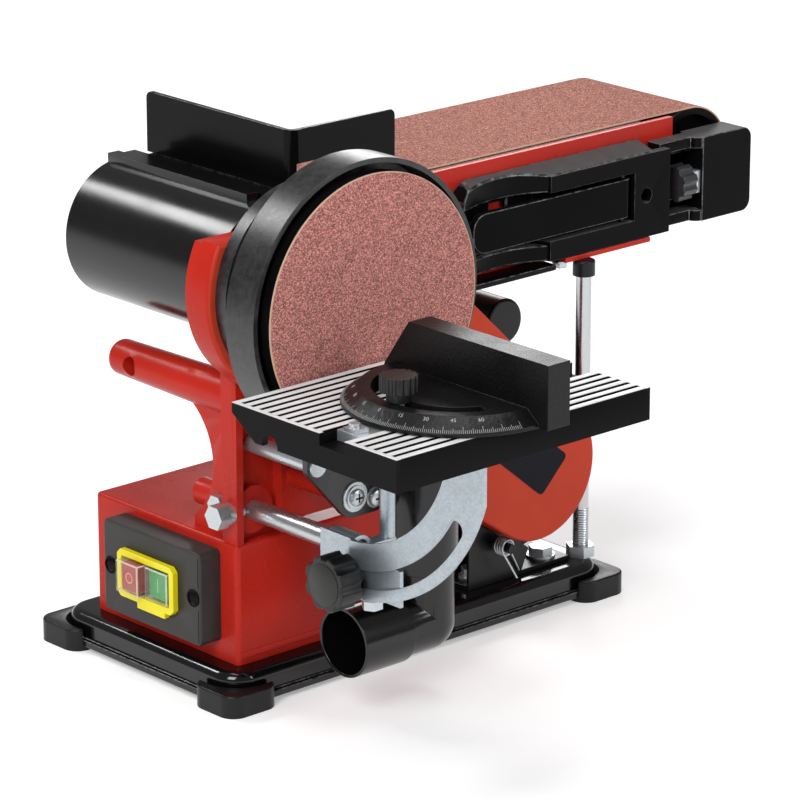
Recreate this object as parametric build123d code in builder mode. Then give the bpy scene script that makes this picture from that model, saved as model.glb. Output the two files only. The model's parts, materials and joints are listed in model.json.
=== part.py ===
# Bench belt and disc sander: a cast column on a pressed base carries the disc, its tilting table
# and the belt arm, which swings up about the same arbor that drives the disc.
# Millimetres, +Z up, origin on the floor under the middle of the machine's outline, disc facing -Y.

import os
from math import cos, pi, radians, sin, sqrt

from build123d import *

os.makedirs("parts", exist_ok=True)

# Clearances
run_clear = 0.05
slide_clear = 0.3
seat_clear = 0.02
gap_clear = 0.5

# How far joined shapes reach into each other, and the roundings of small edges
bite = 1.0
small_round = 1.2
end_chamfer = 1.0

# Base and feet
base_length = 297.0
base_width = 161.0
base_height = 18.0
base_wall = 2.5
base_corner = 18.0
base_edge = 6.0
lip_width = 3.0
lip_height = 4.0
foot_floor = 3.0
foot_height = 13.5
foot_side = 37.0
foot_overhang = 9.5
foot_corner = 10.0

# Where the arbor stands over the base
arbor_inset = 47.0
disc_overhang = 68.0
arbor_rise = 225.5

# Disc and its guard
disc_r = 75.0
paper_thick = 1.0
plate_thick = 8.0
hub_r = 14.0
guard_gap = 3.8
guard_wall = 3.0
guard_front = 6.0
guard_back = 29.0
ear_thick = 4.0
ear_drop = 50.2
boss_out_r = 60.0
boss_in_r = 56.0
boss_step = 9.0
lug_root = 65.5
lug_margin = 2.5
screw_at = (10.4, 12.3)
second_screw_at = (25.4, 8.8)
stud_at = (-17.0, 36.0)
stud_r = 5.0
stud_cap = 1.0
washer_r = 9.0
second_washer_r = 6.3
washer_thick = 1.2
screw_head_r = 5.5
screw_head = 2.8
screw_pad_r = 6.5
plate_round = 1.5

# Arbor, bearings and drive
arbor_r = 7.5
bearing_r = 17.5
bearing_width = 9.0
housing_r = 24.0
drive_front = 64.0
cover_depth = 14.0
cover_wall = 2.5
cover_front_wall = 2.0
backplate_thick = 2.0
flange_thick = 6.0
head_r = 65.0
motor_end_r = 44.3
pulley_width = 9.0
pulley_r = 24.5
drive_belt_thick = 3.0
pulley_rim = 1.5
cover_room = 1.7
motor_shaft_r = 6.0
shaft_room = 4.0
pulley_setback = 1.0
pulley_lip = 1.0
rotor_reach = 15.0

# Motor, placed from the right end of the base and from the arbor
motor_inset = 60.0
motor_dz = -154.0
motor_r = 58.0
motor_length = 104.0
end_bell = 14.0
vent_count = 12
vent_width = 5.0
vent_depth = 4.0
vent_ring = 0.55
vent_share = 0.3
motor_flange_r = 40.0
motor_flange = 11.0
capacitor_r = 14.5
capacitor_length = 56.0
capacitor_front = 140.0
capacitor_stand = 6.0
capacitor_angle = 58.0
capacitor_round = 2.0
strap_share = 0.5
bracket_plate = 3.0
bracket_wall = 8.0
bracket_gap = 2.0
bracket_step = 34.0
bracket_front = 82.0
bracket_length = 98.0
spring_pin_dx = -19.5
spring_pin_dz = -46.5
spring_r = 5.0
spring_wire = 1.3
spring_pitch = 2.2
spring_turns = 3
spring_leg = 20.0
spring_stand = 3.0
spring_lean = 30.0
gusset_sheet = 2.0
gusset_high = 30.0
gusset_reach = 27.0
gusset_low = 9.0
gusset_foot = 20.0
pin_r = 3.0
pin_length = 14.0
deck_bolt_in = (14.0, 11.2)
deck_washer_r = 9.0
deck_washer = 1.5
deck_hex_r = 7.5
deck_hex = 5.0

# Column and switch box
box_right = 85.0
box_depth = 129.0
box_height = 72.7
box_wall = 1.6
box_edge = 3.0
column_left = -33.0
column_right = 14.0
column_wall = 5.0
column_depth = 13.0
web_thick = 6.0
spine_left = -26.0
spine_thick = 10.0
spine_waist = 109.0
spine_flare = 126.0
foot_flange = 6.0
horn_x = -20.0
horn_z = -69.5
horn_root_r = 12.5
horn_end_r = 10.5
horn_end = 200.0
horn_round = 5.0
horn_hole_r = 5.7
horn_hole_back = 22.0
web_drop = 8.0
screw_tab_rise = 18.0
screw_tab_width = 26.0
screw_tab_height = 32.0
clamp_hex_r = 7.5
clamp_hex = 8.0
clamp_collar_r = 6.5
clamp_collar = 4.0
second_bolt_back = 9.0
second_hex_r = 6.5
second_hex = 5.0

# Switch
switch_thick = 15.0
switch_width = 88.0
switch_height = 56.0
switch_front = 95.0
switch_drop = 5.5
switch_corner = 3.5
switch_round = 1.2
recess_in = 6.5
recess_r = 4.0
frame_thick = 4.0
frame_width = 51.0
frame_height = 29.0
frame_inset = 20.0
frame_drop = 13.0
frame_border = 4.0
frame_tab = 3.5
frame_tab_width = 25.0
frame_tab_shift = 5.0
frame_corner = 3.0
button_travel = 4.0
button_floor = 4.0
button_corner = 2.0
stop_proud = 9.0
start_proud = 3.0

# Dust extraction
dust_x = 52.0
dust_y = 18.0
dust_r = 20.5
dust_wall = 2.0
dust_neck = 2.0
dust_drop = 199.6
dust_mouth = -8.0
dust_socket = 37.0
dust_socket_low = 168.0
dust_top = 86.0
socket_top = 58.0
socket_reach = 20.0
elbow_spare = 0.1

# Belt arm
belt_length = 915.0
belt_width = 100.0
belt_thick = 0.9
drum_r = 31.5
belt_front = 107.0
drum_inset = 1.0
drum_rim = 4.0
drum_recess = 6.0
plate_gap = 2.0
near_plate = 4.0
far_plate = 3.0
hood_gap = 6.3
hood_wall = 2.0
hood_front = 88.0
hood_back = 221.0
frame_drop_z = 37.5
frame_sheet = 3.0
platen_thick = 3.2
stop_x = 24.0
stop_sheet = 3.0
stop_front = 97.5
stop_back = 226.0
stop_reach = 79.0
stop_top = 76.0
stop_bend = 5.0
stop_corner = 4.0
stop_notch = 22.0
stop_notch_top = 56.0
lip_rise = 4.5
lip_left = 9.0
lip_run = 8.0
second_lip_left = 2.0
second_lip_run = 9.0
second_lip_drop = 1.6
lip_start = 4.0
flange_rise = 4.0
flange_sheet = 3.0
flange_run = 42.0
near_tab_left = 16.0
near_tab_width = 20.0
near_tab_drop = 18.0
near_tab_depth = 4.0
hood_top_angle = 93.0
hood_low_angle = 250.0
cheek_margin = 3.5
strip_short = 22.0
floor_left = 7.0
floor_right = 16.0
cup_wall = 3.5
cup_room = 1.0
arbor_room = 3.0
rod_pad = 15.0
platen_gap = 12.0
platen_room = 6.0
under_thick = 3.5
under_set = 2.0
under_corner = 10.0
under_short = 21.0
arm_screw_r = 4.5
arm_screw = 3.0
arm_screw_in = (14.0, 6.0)
arm_screw_side = (2.0, 8.0)

# Side cover, lever and idler carriage
side_front = 84.0
side_bottom = -34.0
side_top = 18.0
side_left = 143.0
side_body = 215.0
side_corner = 18.0
scoop_back = 3.0
scoop_round = 7.0
scoop_run = 32.0
scoop_left = 9.0
scoop_front = 8.0
window_in = 14.0
window_over = 1.0
window_under = 3.0
side_hole_r = 4.75
side_hole_in = 10.0
side_hole_deep = 10.0
lever_short = 34.0
lever_room = 4.0
lever_side = 3.0
lever_corner = 10.0
pin_inset = 2.5
pin_over = 6.0
pocket_room = 1.5
idler_to_cover = 41.0
lever_left = 153.0
lever_bottom = -19.0
lever_top = 5.0
lever_thick = 5.0
lever_inset = 0.5
barrel_r = 4.5
lever_pin_r = 2.0
carriage_travel = 8.0
block_before = 12.4
block_after = 30.0
block_back = 104.0
block_bottom = -33.0
block_top = 20.0
tongue_thick = 4.0
tongue_depth = 6.0
tongue_reach = 92.0
tongue_edge = 4.0
block_round = 7.0
block_face = 4.0
shoulder_front = 90.0
shoulder_height = 7.0
shoulder_reach = 3.0
shoulder_round = 5.0
cheek_thick = 4.0
cheek_length = 84.0
cheek_height = 26.0
axle_r = 6.0
knob_y = 93.0
knob_z = -8.0
track_knob_r = 11.5
track_screw_r = 3.0
track_nut = 14.0
track_nut_thick = 4.0
track_washer_r = 9.0
track_lobes = 8
track_lobe_r = 3.2
track_lobe_out = 1.6
knob_room = 3.0
knob_back = 6.0
knob_bite = 3.0
knob_floor = 0.5

# Support rod
rod_r = 4.7
rod_inset = 7.0
rod_setback = 16.0
cap_r = 6.8
cap_height = 9.5
cap_roof = 3.0
nut_r = 9.0
nut_height = 7.0

# Table, its hinge and its carriage
table_left = -105.0
table_right = 79.0
table_back = -3.0
table_depth = 131.0
table_drop = 31.3
table_thick = 4.2
ridge_height = 1.5
ridge_width = 4.2
ridge_pitch = 7.2
skirt_drop = 18.5
skirt_wall = 4.0
skirt_slant = 19.0
skirt_notch_at = 31.0
skirt_notch_r = 6.0
skirt_notch_high = 7.0
border_width = 3.0
slot_back = -74.0
slot_width = 19.5
slot_depth = 6.7
slot_floor = 3.0
hinge_y = -8.0
hinge_z = -42.0
hinge_pin_r = 3.0
ear_wall = 5.5
strap_left = -0.5
strap_thick = 5.0
strap_width = 9.0
strap_rod_r = 4.4
strap_eye = 9.0
crossbar_height = 7.0
quadrant_x = -29.0
quadrant_thick = 2.0
slot_r = 104.5
quadrant_band = 12.5
quadrant_edge = 7.0
quadrant_inner = 3.0
quadrant_spread = 22.0
quadrant_neck = 34.0
quadrant_mid = 45.0
flange_gap = 1.0
flange_width = 24.0
flange_hex_r = 7.0
flange_hex = 5.0
tilt_slot_half = 5.3
tilt_slot_start = 1.5
tilt_slot_end = 58.0
tilt_rest = 2.5
quadrant_front = -119.0
table_shaft_z = -134.6
table_shaft_r = 6.0
shaft_sleeve = 2.4
table_shaft_front = -6.0
table_shaft_back = 125.0
shaft_boss_r = 14.0
shaft_guide_r = 8.0
shaft_boss_front = 83.0
shaft_boss_back = 128.0
clamp_bolt_y = 86.5
clamp_bolt_r = 4.0
tilt_bolt_r = 4.0
tilt_nut_r = 6.0
tilt_nut = 4.0
bracket_sheet = 2.4
bracket_head = 16.0
bracket_step_at = -8.0
bracket_tip = -50.0
bracket_side = 9.0
bracket_tip_over = 12.0
bracket_tip_under = 9.0
sleeve_back = 14.0
sleeve_length = 22.0
foot_bolt_at = -14.5
foot_bolt_r = 4.0
foot_bolt_drop = 7.0
foot_hex_r = 6.2
foot_hex = 5.5
foot_tab_width = 18.0
foot_tab_length = 15.0
tilt_knob_r = 16.0
tilt_knob_thick = 20.0
tilt_collar_r = 9.0
tilt_collar = 5.0
tilt_lobes = 8
tilt_lobe_r = 4.0
tilt_lobe_out = 2.0
tilt_bolt_in = 10.0

# Mitre gauge
mitre_x = -16.0
mitre_r = 62.5
mitre_base = 9.0
mitre_bevel = 7.0
mitre_slot_r = 42.0
mitre_slot_width = 8.0
mitre_swing = 60.0
mitre_slot_spare = 6.0
fence_thick = 16.0
fence_height = 35.5
fence_front = -153.0
fence_back = -22.0
fence_slope = 23.0
bar_left = -93.0
bar_right = 30.0
bar_thick = 6.0
bar_clear = 0.4
mitre_knob_r = 10.5
mitre_knob_height = 14.5
mitre_neck_r = 6.5
mitre_neck = 5.5
mitre_flutes = 16
mitre_flute_r = 1.6
mitre_flute_out = 0.6
mitre_roof = 3.0
mitre_bevel_run = 2.0
fence_heel = 4.0
pivot_r = 4.0
pivot_roof = 2.0
stud_radius = 3.0
pointer_size = (9.0, 10.0)
pointer_thick = 2.5
pointer_in = 5.0
pointer_screw_r = 3.2
pointer_screw = 2.4
pointer_screw_in = 4.0

# Derived places, as distances from the arbor and from the disc's face
base_top = foot_floor + base_height
arbor_z = base_top + arbor_rise
base_left = -arbor_inset
base_right = base_length - arbor_inset
base_front = disc_overhang
base_back = disc_overhang + base_width
motor_dx = base_right - motor_inset
bracket_half = motor_inset - rod_inset - nut_r - bracket_gap
base_mid_x = (base_left + base_right) / 2
base_mid_y = (base_front + base_back) / 2
deck_z = -arbor_rise
floor_z = deck_z - base_top
cover_back = drive_front + cover_depth
head_top = pulley_r + slide_clear + drive_belt_thick + cover_room + cover_wall
backplate_back = cover_back + backplate_thick
flange_back = backplate_back + flange_thick
column_front = backplate_back
column_back = column_front + column_depth
box_top = deck_z + box_height
guard_r = disc_r + guard_gap + guard_wall
guard_in = disc_r + guard_gap
drum_out = drum_r + slide_clear + belt_thick
belt_in = drum_r + slide_clear
belt_back = belt_front + belt_width
idler_x = (belt_length - 2 * pi * (belt_in + belt_thick / 2)) / 2
near_back = belt_front - plate_gap
near_front = near_back - near_plate
far_front = belt_back + plate_gap
far_back = far_front + far_plate
housing_back = near_back + gap_clear
hood_in = drum_out + hood_gap
hood_r = hood_in + hood_wall
lip_top = hood_r + lip_rise
hood_sweep = sqrt(lip_top**2 + lip_left**2)
neck_top = -(hood_sweep + gap_clear)
side_right = idler_x - idler_to_cover
table_front = table_back - table_depth
table_top_z = -table_drop
plate_top_z = table_top_z - ridge_height
plate_under_z = plate_top_z - table_thick
skirt_z = table_top_z - skirt_drop
slot_front = slot_back - slot_width
slot_mid = (slot_back + slot_front) / 2
bracket_left = quadrant_x + quadrant_thick + gap_clear
sleeve_r = table_shaft_r + shaft_sleeve
table_shaft_x = bracket_left + sleeve_r + run_clear
arbor_x = -(table_left + idler_x + drum_out) / 2
face_y = -(fence_front + base_back + foot_overhang) / 2


def upright(y):
    """Sketch plane across the arbor at a depth behind the disc's face: local X right, local Y up."""
    return Plane(origin=(arbor_x, face_y + y, arbor_z), x_dir=(1, 0, 0), z_dir=(0, -1, 0))


def flank(x):
    """Sketch plane along the arbor at a distance right of it: local X back, local Y up."""
    return Plane(origin=(arbor_x + x, face_y, arbor_z), x_dir=(0, 1, 0), z_dir=(1, 0, 0))


def level(z):
    """Flat sketch plane at a height over the arbor: local X right, local Y back."""
    return Plane(origin=(arbor_x, face_y, arbor_z + z))


def spot(x, y, z):
    """A point given from the arbor and the disc's face, in the part's own frame."""
    return Vector(arbor_x + x, face_y + y, arbor_z + z)


def save(piece, name):
    """Label a finished piece and write it as its own STEP file."""
    piece.label = name
    export_step(piece, "parts/" + name + ".step")


# Base: a pressed tray, open below, with a rolled lip
with BuildPart() as base_plate:
    with BuildSketch(level(deck_z - base_height)):
        with Locations((base_mid_x, base_mid_y)):
            RectangleRounded(base_length, base_width, base_corner)
    extrude(amount=base_height)
    fillet(base_plate.faces().sort_by(Axis.Z)[-1].edges(), base_edge)
    with BuildSketch(level(deck_z - base_height)):
        with Locations((base_mid_x, base_mid_y)):
            RectangleRounded(
                base_length + 2 * lip_width, base_width + 2 * lip_width, base_corner + lip_width
            )
    extrude(amount=lip_height)
    with BuildSketch(level(deck_z - base_height)):
        with Locations((base_mid_x, base_mid_y)):
            RectangleRounded(
                base_length - 2 * base_wall, base_width - 2 * base_wall, base_corner - base_wall
            )
    extrude(amount=base_height - base_wall, mode=Mode.SUBTRACT)
save(base_plate.part, "base_plate")

# Feet: rubber blocks wrapped round the corners of the tray
foot_in = foot_side / 2 - foot_overhang
foot_names = {
    "foot_front_left": (base_left + foot_in, base_front + foot_in),
    "foot_front_right": (base_right - foot_in, base_front + foot_in),
    "foot_rear_left": (base_left + foot_in, base_back - foot_in),
    "foot_rear_right": (base_right - foot_in, base_back - foot_in),
}
for foot_name, foot_at in foot_names.items():
    with BuildPart() as foot:
        with BuildSketch(level(floor_z)):
            with Locations(foot_at):
                RectangleRounded(foot_side, foot_side, foot_corner)
        extrude(amount=foot_height)
        fillet(foot.faces().sort_by(Axis.Z)[-1].edges(), small_round)
        with BuildSketch(level(deck_z - base_height)):
            with Locations((base_mid_x, base_mid_y)):
                RectangleRounded(
                    base_length + 2 * lip_width, base_width + 2 * lip_width, base_corner + lip_width
                )
        extrude(amount=foot_height, mode=Mode.SUBTRACT)
    save(foot.part, foot_name)

# Switch box: folded sheet, open below
with BuildPart() as switch_box:
    box_mid = ((column_left + box_right) / 2, column_front + box_depth / 2)
    with BuildSketch(level(deck_z)):
        with Locations(box_mid):
            RectangleRounded(box_right - column_left, box_depth, box_edge)
    extrude(amount=box_height)
    fillet(switch_box.faces().sort_by(Axis.Z)[-1].edges(), box_edge - bite)
    with BuildSketch(level(deck_z)):
        with Locations(box_mid):
            Rectangle(box_right - column_left - 2 * box_wall, box_depth - 2 * box_wall)
    extrude(amount=box_height - box_wall, mode=Mode.SUBTRACT)
save(switch_box.part, "switch_box")

# Guard: a cup round the disc with a lug plate below and a socket for the dust pipe
lug_bottom = -(guard_r + ear_drop)
screw_spot = (screw_at[0], lug_bottom + screw_at[1])
second_screw_spot = (second_screw_at[0], lug_bottom + second_screw_at[1])
screw_spots = [screw_spot, second_screw_spot]
stud_spot = (stud_at[0], lug_bottom + stud_at[1])
stud_margin = stud_r + lug_margin
lug_right = second_screw_spot[0] + second_washer_r + lug_margin
lug_back = guard_back + ear_thick
socket_r = dust_r - dust_wall - seat_clear
with BuildPart() as guard:
    with BuildSketch(upright(guard_back)):
        Circle(guard_r)
    extrude(amount=guard_back - guard_front)
    with BuildSketch(upright(lug_back)):
        with Locations(stud_spot):
            Circle(stud_margin)
        with Locations(screw_spot):
            Circle(screw_at[1])
        with Locations(second_screw_spot):
            Circle(second_screw_at[1])
        with Locations((stud_spot[0] - stud_margin, -lug_root)):
            Rectangle(lug_right + stud_margin - stud_spot[0], guard_wall, align=(Align.MIN, Align.MAX))
        make_hull()
    extrude(amount=ear_thick)
    with BuildSketch(upright(drive_front)):
        Circle(boss_in_r)
    extrude(amount=drive_front - guard_back)
    with BuildSketch(upright(drive_front)):
        Circle(boss_out_r)
    extrude(amount=boss_step)
    with BuildSketch(level(-dust_top - socket_reach)):
        with Locations((dust_x, dust_y)):
            Circle(socket_r)
    extrude(amount=dust_top + socket_reach - socket_top)
    with BuildSketch(upright(guard_back - guard_wall)):
        Circle(guard_in)
    extrude(amount=guard_back, mode=Mode.SUBTRACT)
    with BuildSketch(level(-dust_top - socket_reach)):
        with Locations((dust_x, dust_y)):
            Circle(socket_r - dust_wall)
    extrude(amount=dust_top + socket_reach - socket_top - dust_wall, mode=Mode.SUBTRACT)
    with BuildSketch(upright(drive_front)):
        Circle(hub_r + guard_wall)
    extrude(amount=drive_front - guard_front, mode=Mode.SUBTRACT)
save(guard.part, "guard")

# Guard fixings: a spacer stud and two washered screws
with BuildPart() as guard_fixings:
    with BuildSketch(upright(column_back - web_thick)):
        with Locations(stud_spot):
            Circle(stud_r)
    extrude(amount=column_back - web_thick - lug_back)
    with BuildSketch(upright(guard_back)):
        with Locations(screw_spot):
            Circle(washer_r)
    extrude(amount=washer_thick)
    with BuildSketch(upright(guard_back)):
        with Locations(second_screw_spot):
            Circle(second_washer_r)
    extrude(amount=washer_thick)
    with BuildSketch(upright(guard_back - washer_thick)):
        with Locations(*screw_spots):
            Circle(screw_head_r)
    extrude(amount=screw_head)
    with BuildSketch(upright(guard_back)):
        with Locations(stud_spot):
            Circle(stud_r + stud_cap)
    extrude(amount=washer_thick)
save(guard_fixings.part, "guard_fixings")

# Column: cast head flange, bearing housing, U-shaped upright, spine, horn and shaft boss
clamp_bolt_z = table_shaft_z
second_bolt_y = column_back + second_bolt_back
with BuildPart() as column:
    with BuildSketch(upright(flange_back)):
        Circle(head_r - cover_front_wall)
        with Locations((0, head_top - cover_front_wall)):
            Rectangle(2 * head_r, head_r, align=(Align.CENTER, Align.MIN), mode=Mode.SUBTRACT)
    extrude(amount=flange_thick)
    with BuildSketch(upright(housing_back)):
        Circle(housing_r)
    extrude(amount=housing_back - column_front)
    with BuildSketch(level(box_top)):
        with Locations((column_left, column_back)):
            Rectangle(column_right - column_left, web_thick, align=(Align.MIN, Align.MAX))
        with Locations((column_left, column_front)):
            Rectangle(column_wall, column_depth, align=(Align.MIN, Align.MIN))
        with Locations((column_right, column_front)):
            Rectangle(column_right, column_depth, align=(Align.MAX, Align.MIN))
    extrude(amount=neck_top - box_top)
    with BuildSketch(upright(column_back)):
        with Locations((column_left, neck_top)):
            Rectangle(
                column_right - column_left, head_r + neck_top + web_drop, align=(Align.MIN, Align.MAX)
            )
        with Locations((column_right, lug_bottom + screw_tab_rise)):
            Rectangle(screw_tab_width, screw_tab_height, align=(Align.MIN, Align.MAX))
    extrude(amount=column_depth)
    with BuildSketch(flank(spine_left)):
        with BuildLine():
            Polyline(
                (spine_flare, box_top + foot_flange),
                (spine_flare, box_top),
                (column_back - bite, box_top),
                (column_back - bite, horn_z + horn_root_r - 2 * bite),
                (spine_flare, horn_z + horn_root_r - 2 * bite),
                (spine_flare, horn_z - horn_root_r + 2 * bite),
            )
            ThreePointArc(
                (spine_flare, horn_z - horn_root_r + 2 * bite),
                (spine_waist, (horn_z + box_top) / 2),
                (spine_flare, box_top + foot_flange),
            )
        make_face()
    extrude(amount=spine_thick)
    with BuildSketch(level(horn_z)):
        with BuildLine():
            Polyline(
                (horn_x, column_back - bite),
                (horn_x - horn_root_r, column_back - bite),
                (horn_x - horn_end_r, horn_end),
                (horn_x, horn_end),
                close=True,
            )
        make_face()
    revolve(axis=Axis(spot(horn_x, 0, horn_z), (0, 1, 0)))
    fillet(column.edges().sort_by(Axis.Y)[-1], horn_round)
    with BuildSketch(upright(shaft_boss_back)):
        with Locations((table_shaft_x, table_shaft_z)):
            Circle(shaft_guide_r)
    extrude(amount=shaft_boss_back - shaft_boss_front)
    with BuildSketch(upright(column_back)):
        with Locations((table_shaft_x, table_shaft_z)):
            Circle(shaft_boss_r)
    extrude(amount=column_back - shaft_boss_front)
    with BuildSketch(upright(column_back)):
        with Locations(*screw_spots):
            Circle(screw_pad_r)
    extrude(amount=column_back - lug_back)
    with BuildSketch(flank(horn_x - 2 * horn_root_r)):
        with Locations((horn_end - horn_hole_back, horn_z)):
            Circle(horn_hole_r)
    extrude(amount=4 * horn_root_r, mode=Mode.SUBTRACT)
    with BuildSketch(upright(shaft_boss_back)):
        with Locations((table_shaft_x, table_shaft_z)):
            Circle(table_shaft_r + run_clear)
    extrude(amount=shaft_boss_back - column_front + bite, mode=Mode.SUBTRACT)
    with BuildSketch(upright(housing_back)):
        Circle(bearing_r)
    extrude(amount=housing_back - column_front, mode=Mode.SUBTRACT)
    with BuildSketch(flank(column_left)):
        with Locations((clamp_bolt_y, clamp_bolt_z)):
            Circle(clamp_bolt_r + seat_clear)
    extrude(amount=table_shaft_x - column_left, mode=Mode.SUBTRACT)
save(column.part, "column")

# Hex bolts at the column: the shaft clamp and the one on the spine
with BuildPart() as shaft_bolts:
    with BuildSketch(flank(column_left - clamp_collar)):
        with Locations((clamp_bolt_y, clamp_bolt_z)):
            RegularPolygon(clamp_hex_r, 6)
    extrude(amount=-clamp_hex)
    with BuildSketch(flank(column_left - clamp_collar)):
        with Locations((clamp_bolt_y, clamp_bolt_z)):
            Circle(clamp_collar_r)
    extrude(amount=clamp_collar)
    with BuildSketch(flank(column_left)):
        with Locations((clamp_bolt_y, clamp_bolt_z)):
            Circle(clamp_bolt_r)
    extrude(amount=table_shaft_x - table_shaft_r - column_left - slide_clear)
    with BuildSketch(flank(table_shaft_x - shaft_guide_r)):
        with Locations((second_bolt_y, clamp_bolt_z)):
            RegularPolygon(second_hex_r, 6)
    extrude(amount=-second_hex)
save(shaft_bolts.part, "shaft_bolts")

# Bearing of the arbor in the column
bearing_front = flange_back
with BuildPart() as arbor_bearing:
    with BuildSketch(upright(bearing_front + bearing_width)):
        Circle(bearing_r - seat_clear)
        Circle(arbor_r + run_clear, mode=Mode.SUBTRACT)
    extrude(amount=bearing_width)
save(arbor_bearing.part, "arbor_bearing")

# Drive cover: pear-shaped pan over the pulleys
with BuildPart() as drive_cover:
    with BuildSketch(upright(cover_back)):
        Circle(head_r)
        with Locations((motor_dx, motor_dz)):
            Circle(motor_end_r)
        make_hull()
        with Locations((0, head_top)):
            Rectangle(4 * head_r, head_r, align=(Align.CENTER, Align.MIN), mode=Mode.SUBTRACT)
    extrude(amount=cover_depth)
    fillet(drive_cover.faces().sort_by(Axis.Y)[0].edges(), cover_wall)
    with BuildSketch(upright(cover_back)):
        Circle(head_r - cover_wall)
        with Locations((motor_dx, motor_dz)):
            Circle(motor_end_r - cover_wall)
        make_hull()
        with Locations((0, head_top - cover_wall)):
            Rectangle(4 * head_r, head_r, align=(Align.CENTER, Align.MIN), mode=Mode.SUBTRACT)
    extrude(amount=cover_depth - cover_front_wall, mode=Mode.SUBTRACT)
    with BuildSketch(upright(cover_back)):
        Circle(hub_r + guard_wall)
    extrude(amount=cover_depth, mode=Mode.SUBTRACT)
save(drive_cover.part, "drive_cover")

# Back plate of the drive, which also carries the motor
with BuildPart() as drive_backplate:
    with BuildSketch(upright(backplate_back)):
        Circle(head_r - cover_front_wall)
        with Locations((motor_dx, motor_dz)):
            Circle(motor_end_r - cover_front_wall)
        make_hull()
        with Locations((0, head_top - cover_front_wall)):
            Rectangle(4 * head_r, head_r, align=(Align.CENTER, Align.MIN), mode=Mode.SUBTRACT)
        Circle(bearing_r, mode=Mode.SUBTRACT)
        with Locations((motor_dx, motor_dz)):
            Circle(motor_shaft_r + shaft_room, mode=Mode.SUBTRACT)
    extrude(amount=backplate_thick)
save(drive_backplate.part, "drive_backplate")

# Pulleys and drive belt inside the cover
pulley_back = cover_back - pulley_setback
pulley_front = pulley_back - pulley_width
belt_gap = slide_clear
with BuildPart() as arbor_pulley:
    with BuildSketch(upright(pulley_back)):
        Circle(pulley_r + pulley_rim)
        Circle(arbor_r + seat_clear, mode=Mode.SUBTRACT)
    extrude(amount=pulley_width)
    with BuildSketch(upright(pulley_back - pulley_lip)):
        Circle(pulley_r + 2 * pulley_rim)
        Circle(pulley_r, mode=Mode.SUBTRACT)
    extrude(amount=pulley_width - 2 * pulley_lip, mode=Mode.SUBTRACT)
save(arbor_pulley.part, "arbor_pulley")

with BuildPart() as drive_belt:
    with BuildSketch(upright(pulley_back - pulley_lip - belt_gap)):
        Circle(pulley_r + belt_gap + drive_belt_thick)
        with Locations((motor_dx, motor_dz)):
            Circle(pulley_r + belt_gap + drive_belt_thick)
        make_hull()
    extrude(amount=pulley_width - 2 * pulley_lip - 2 * belt_gap)
    with BuildSketch(upright(pulley_back - pulley_lip - belt_gap)):
        Circle(pulley_r + belt_gap)
        with Locations((motor_dx, motor_dz)):
            Circle(pulley_r + belt_gap)
        make_hull()
    extrude(amount=pulley_width - 2 * pulley_lip - 2 * belt_gap, mode=Mode.SUBTRACT)
save(drive_belt.part, "drive_belt")

# Motor: flange, barrel and rounded end bell
motor_front = backplate_back
motor_back = motor_front + motor_flange + motor_length
with BuildPart() as motor_body:
    with BuildSketch(upright(motor_front + motor_flange)):
        with Locations((motor_dx, motor_dz)):
            Circle(motor_flange_r)
    extrude(amount=motor_flange)
    with BuildSketch(upright(motor_back)):
        with Locations((motor_dx, motor_dz)):
            Circle(motor_r)
    extrude(amount=motor_length)
    fillet(motor_body.edges().sort_by(Axis.Y)[-1], end_bell)
    with BuildSketch(upright(motor_back)):
        with Locations((motor_dx, motor_dz)):
            with PolarLocations(vent_ring * motor_r, vent_count):
                SlotOverall(vent_share * motor_r, vent_width)
    extrude(amount=vent_depth, mode=Mode.SUBTRACT)
    with BuildSketch(upright(motor_front + rotor_reach + bite)):
        with Locations((motor_dx, motor_dz)):
            Circle(motor_shaft_r + run_clear)
    extrude(amount=rotor_reach + bite, mode=Mode.SUBTRACT)
save(motor_body.part, "motor_body")

with BuildPart() as motor_rotor:
    with BuildSketch(upright(motor_front + rotor_reach)):
        with Locations((motor_dx, motor_dz)):
            Circle(motor_shaft_r)
    extrude(amount=motor_front + rotor_reach - pulley_front)
    with BuildSketch(upright(pulley_back)):
        with Locations((motor_dx, motor_dz)):
            Circle(pulley_r)
    extrude(amount=pulley_width)
    with BuildSketch(upright(pulley_back)):
        with Locations((motor_dx, motor_dz)):
            Circle(pulley_r + pulley_rim)
    extrude(amount=pulley_lip)
    with BuildSketch(upright(pulley_front + pulley_lip)):
        with Locations((motor_dx, motor_dz)):
            Circle(pulley_r + pulley_rim)
    extrude(amount=pulley_lip)
save(motor_rotor.part, "motor_rotor")

# Capacitor can on a saddle at the motor's upper right
can_reach = motor_r + capacitor_stand + capacitor_r
can_x = motor_dx + can_reach * cos(radians(capacitor_angle))
can_z = motor_dz + can_reach * sin(radians(capacitor_angle))
with BuildPart() as motor_capacitor:
    with BuildSketch(upright(capacitor_front + capacitor_length)):
        with Locations((can_x, can_z)):
            Circle(capacitor_r)
    extrude(amount=capacitor_length)
    fillet(motor_capacitor.edges().sort_by(Axis.Y)[0], capacitor_round)
    with BuildSketch(upright(capacitor_front + (1 + strap_share) / 2 * capacitor_length)):
        with Locations((can_x, can_z)):
            with Locations(Rotation(0, 0, capacitor_angle)):
                with Locations((-capacitor_r - capacitor_stand / 2, 0)):
                    Rectangle(2 * capacitor_stand, capacitor_r)
        with Locations((motor_dx, motor_dz)):
            Circle(motor_r, mode=Mode.SUBTRACT)
    extrude(amount=strap_share * capacitor_length)
save(motor_capacitor.part, "motor_capacitor")

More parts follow.
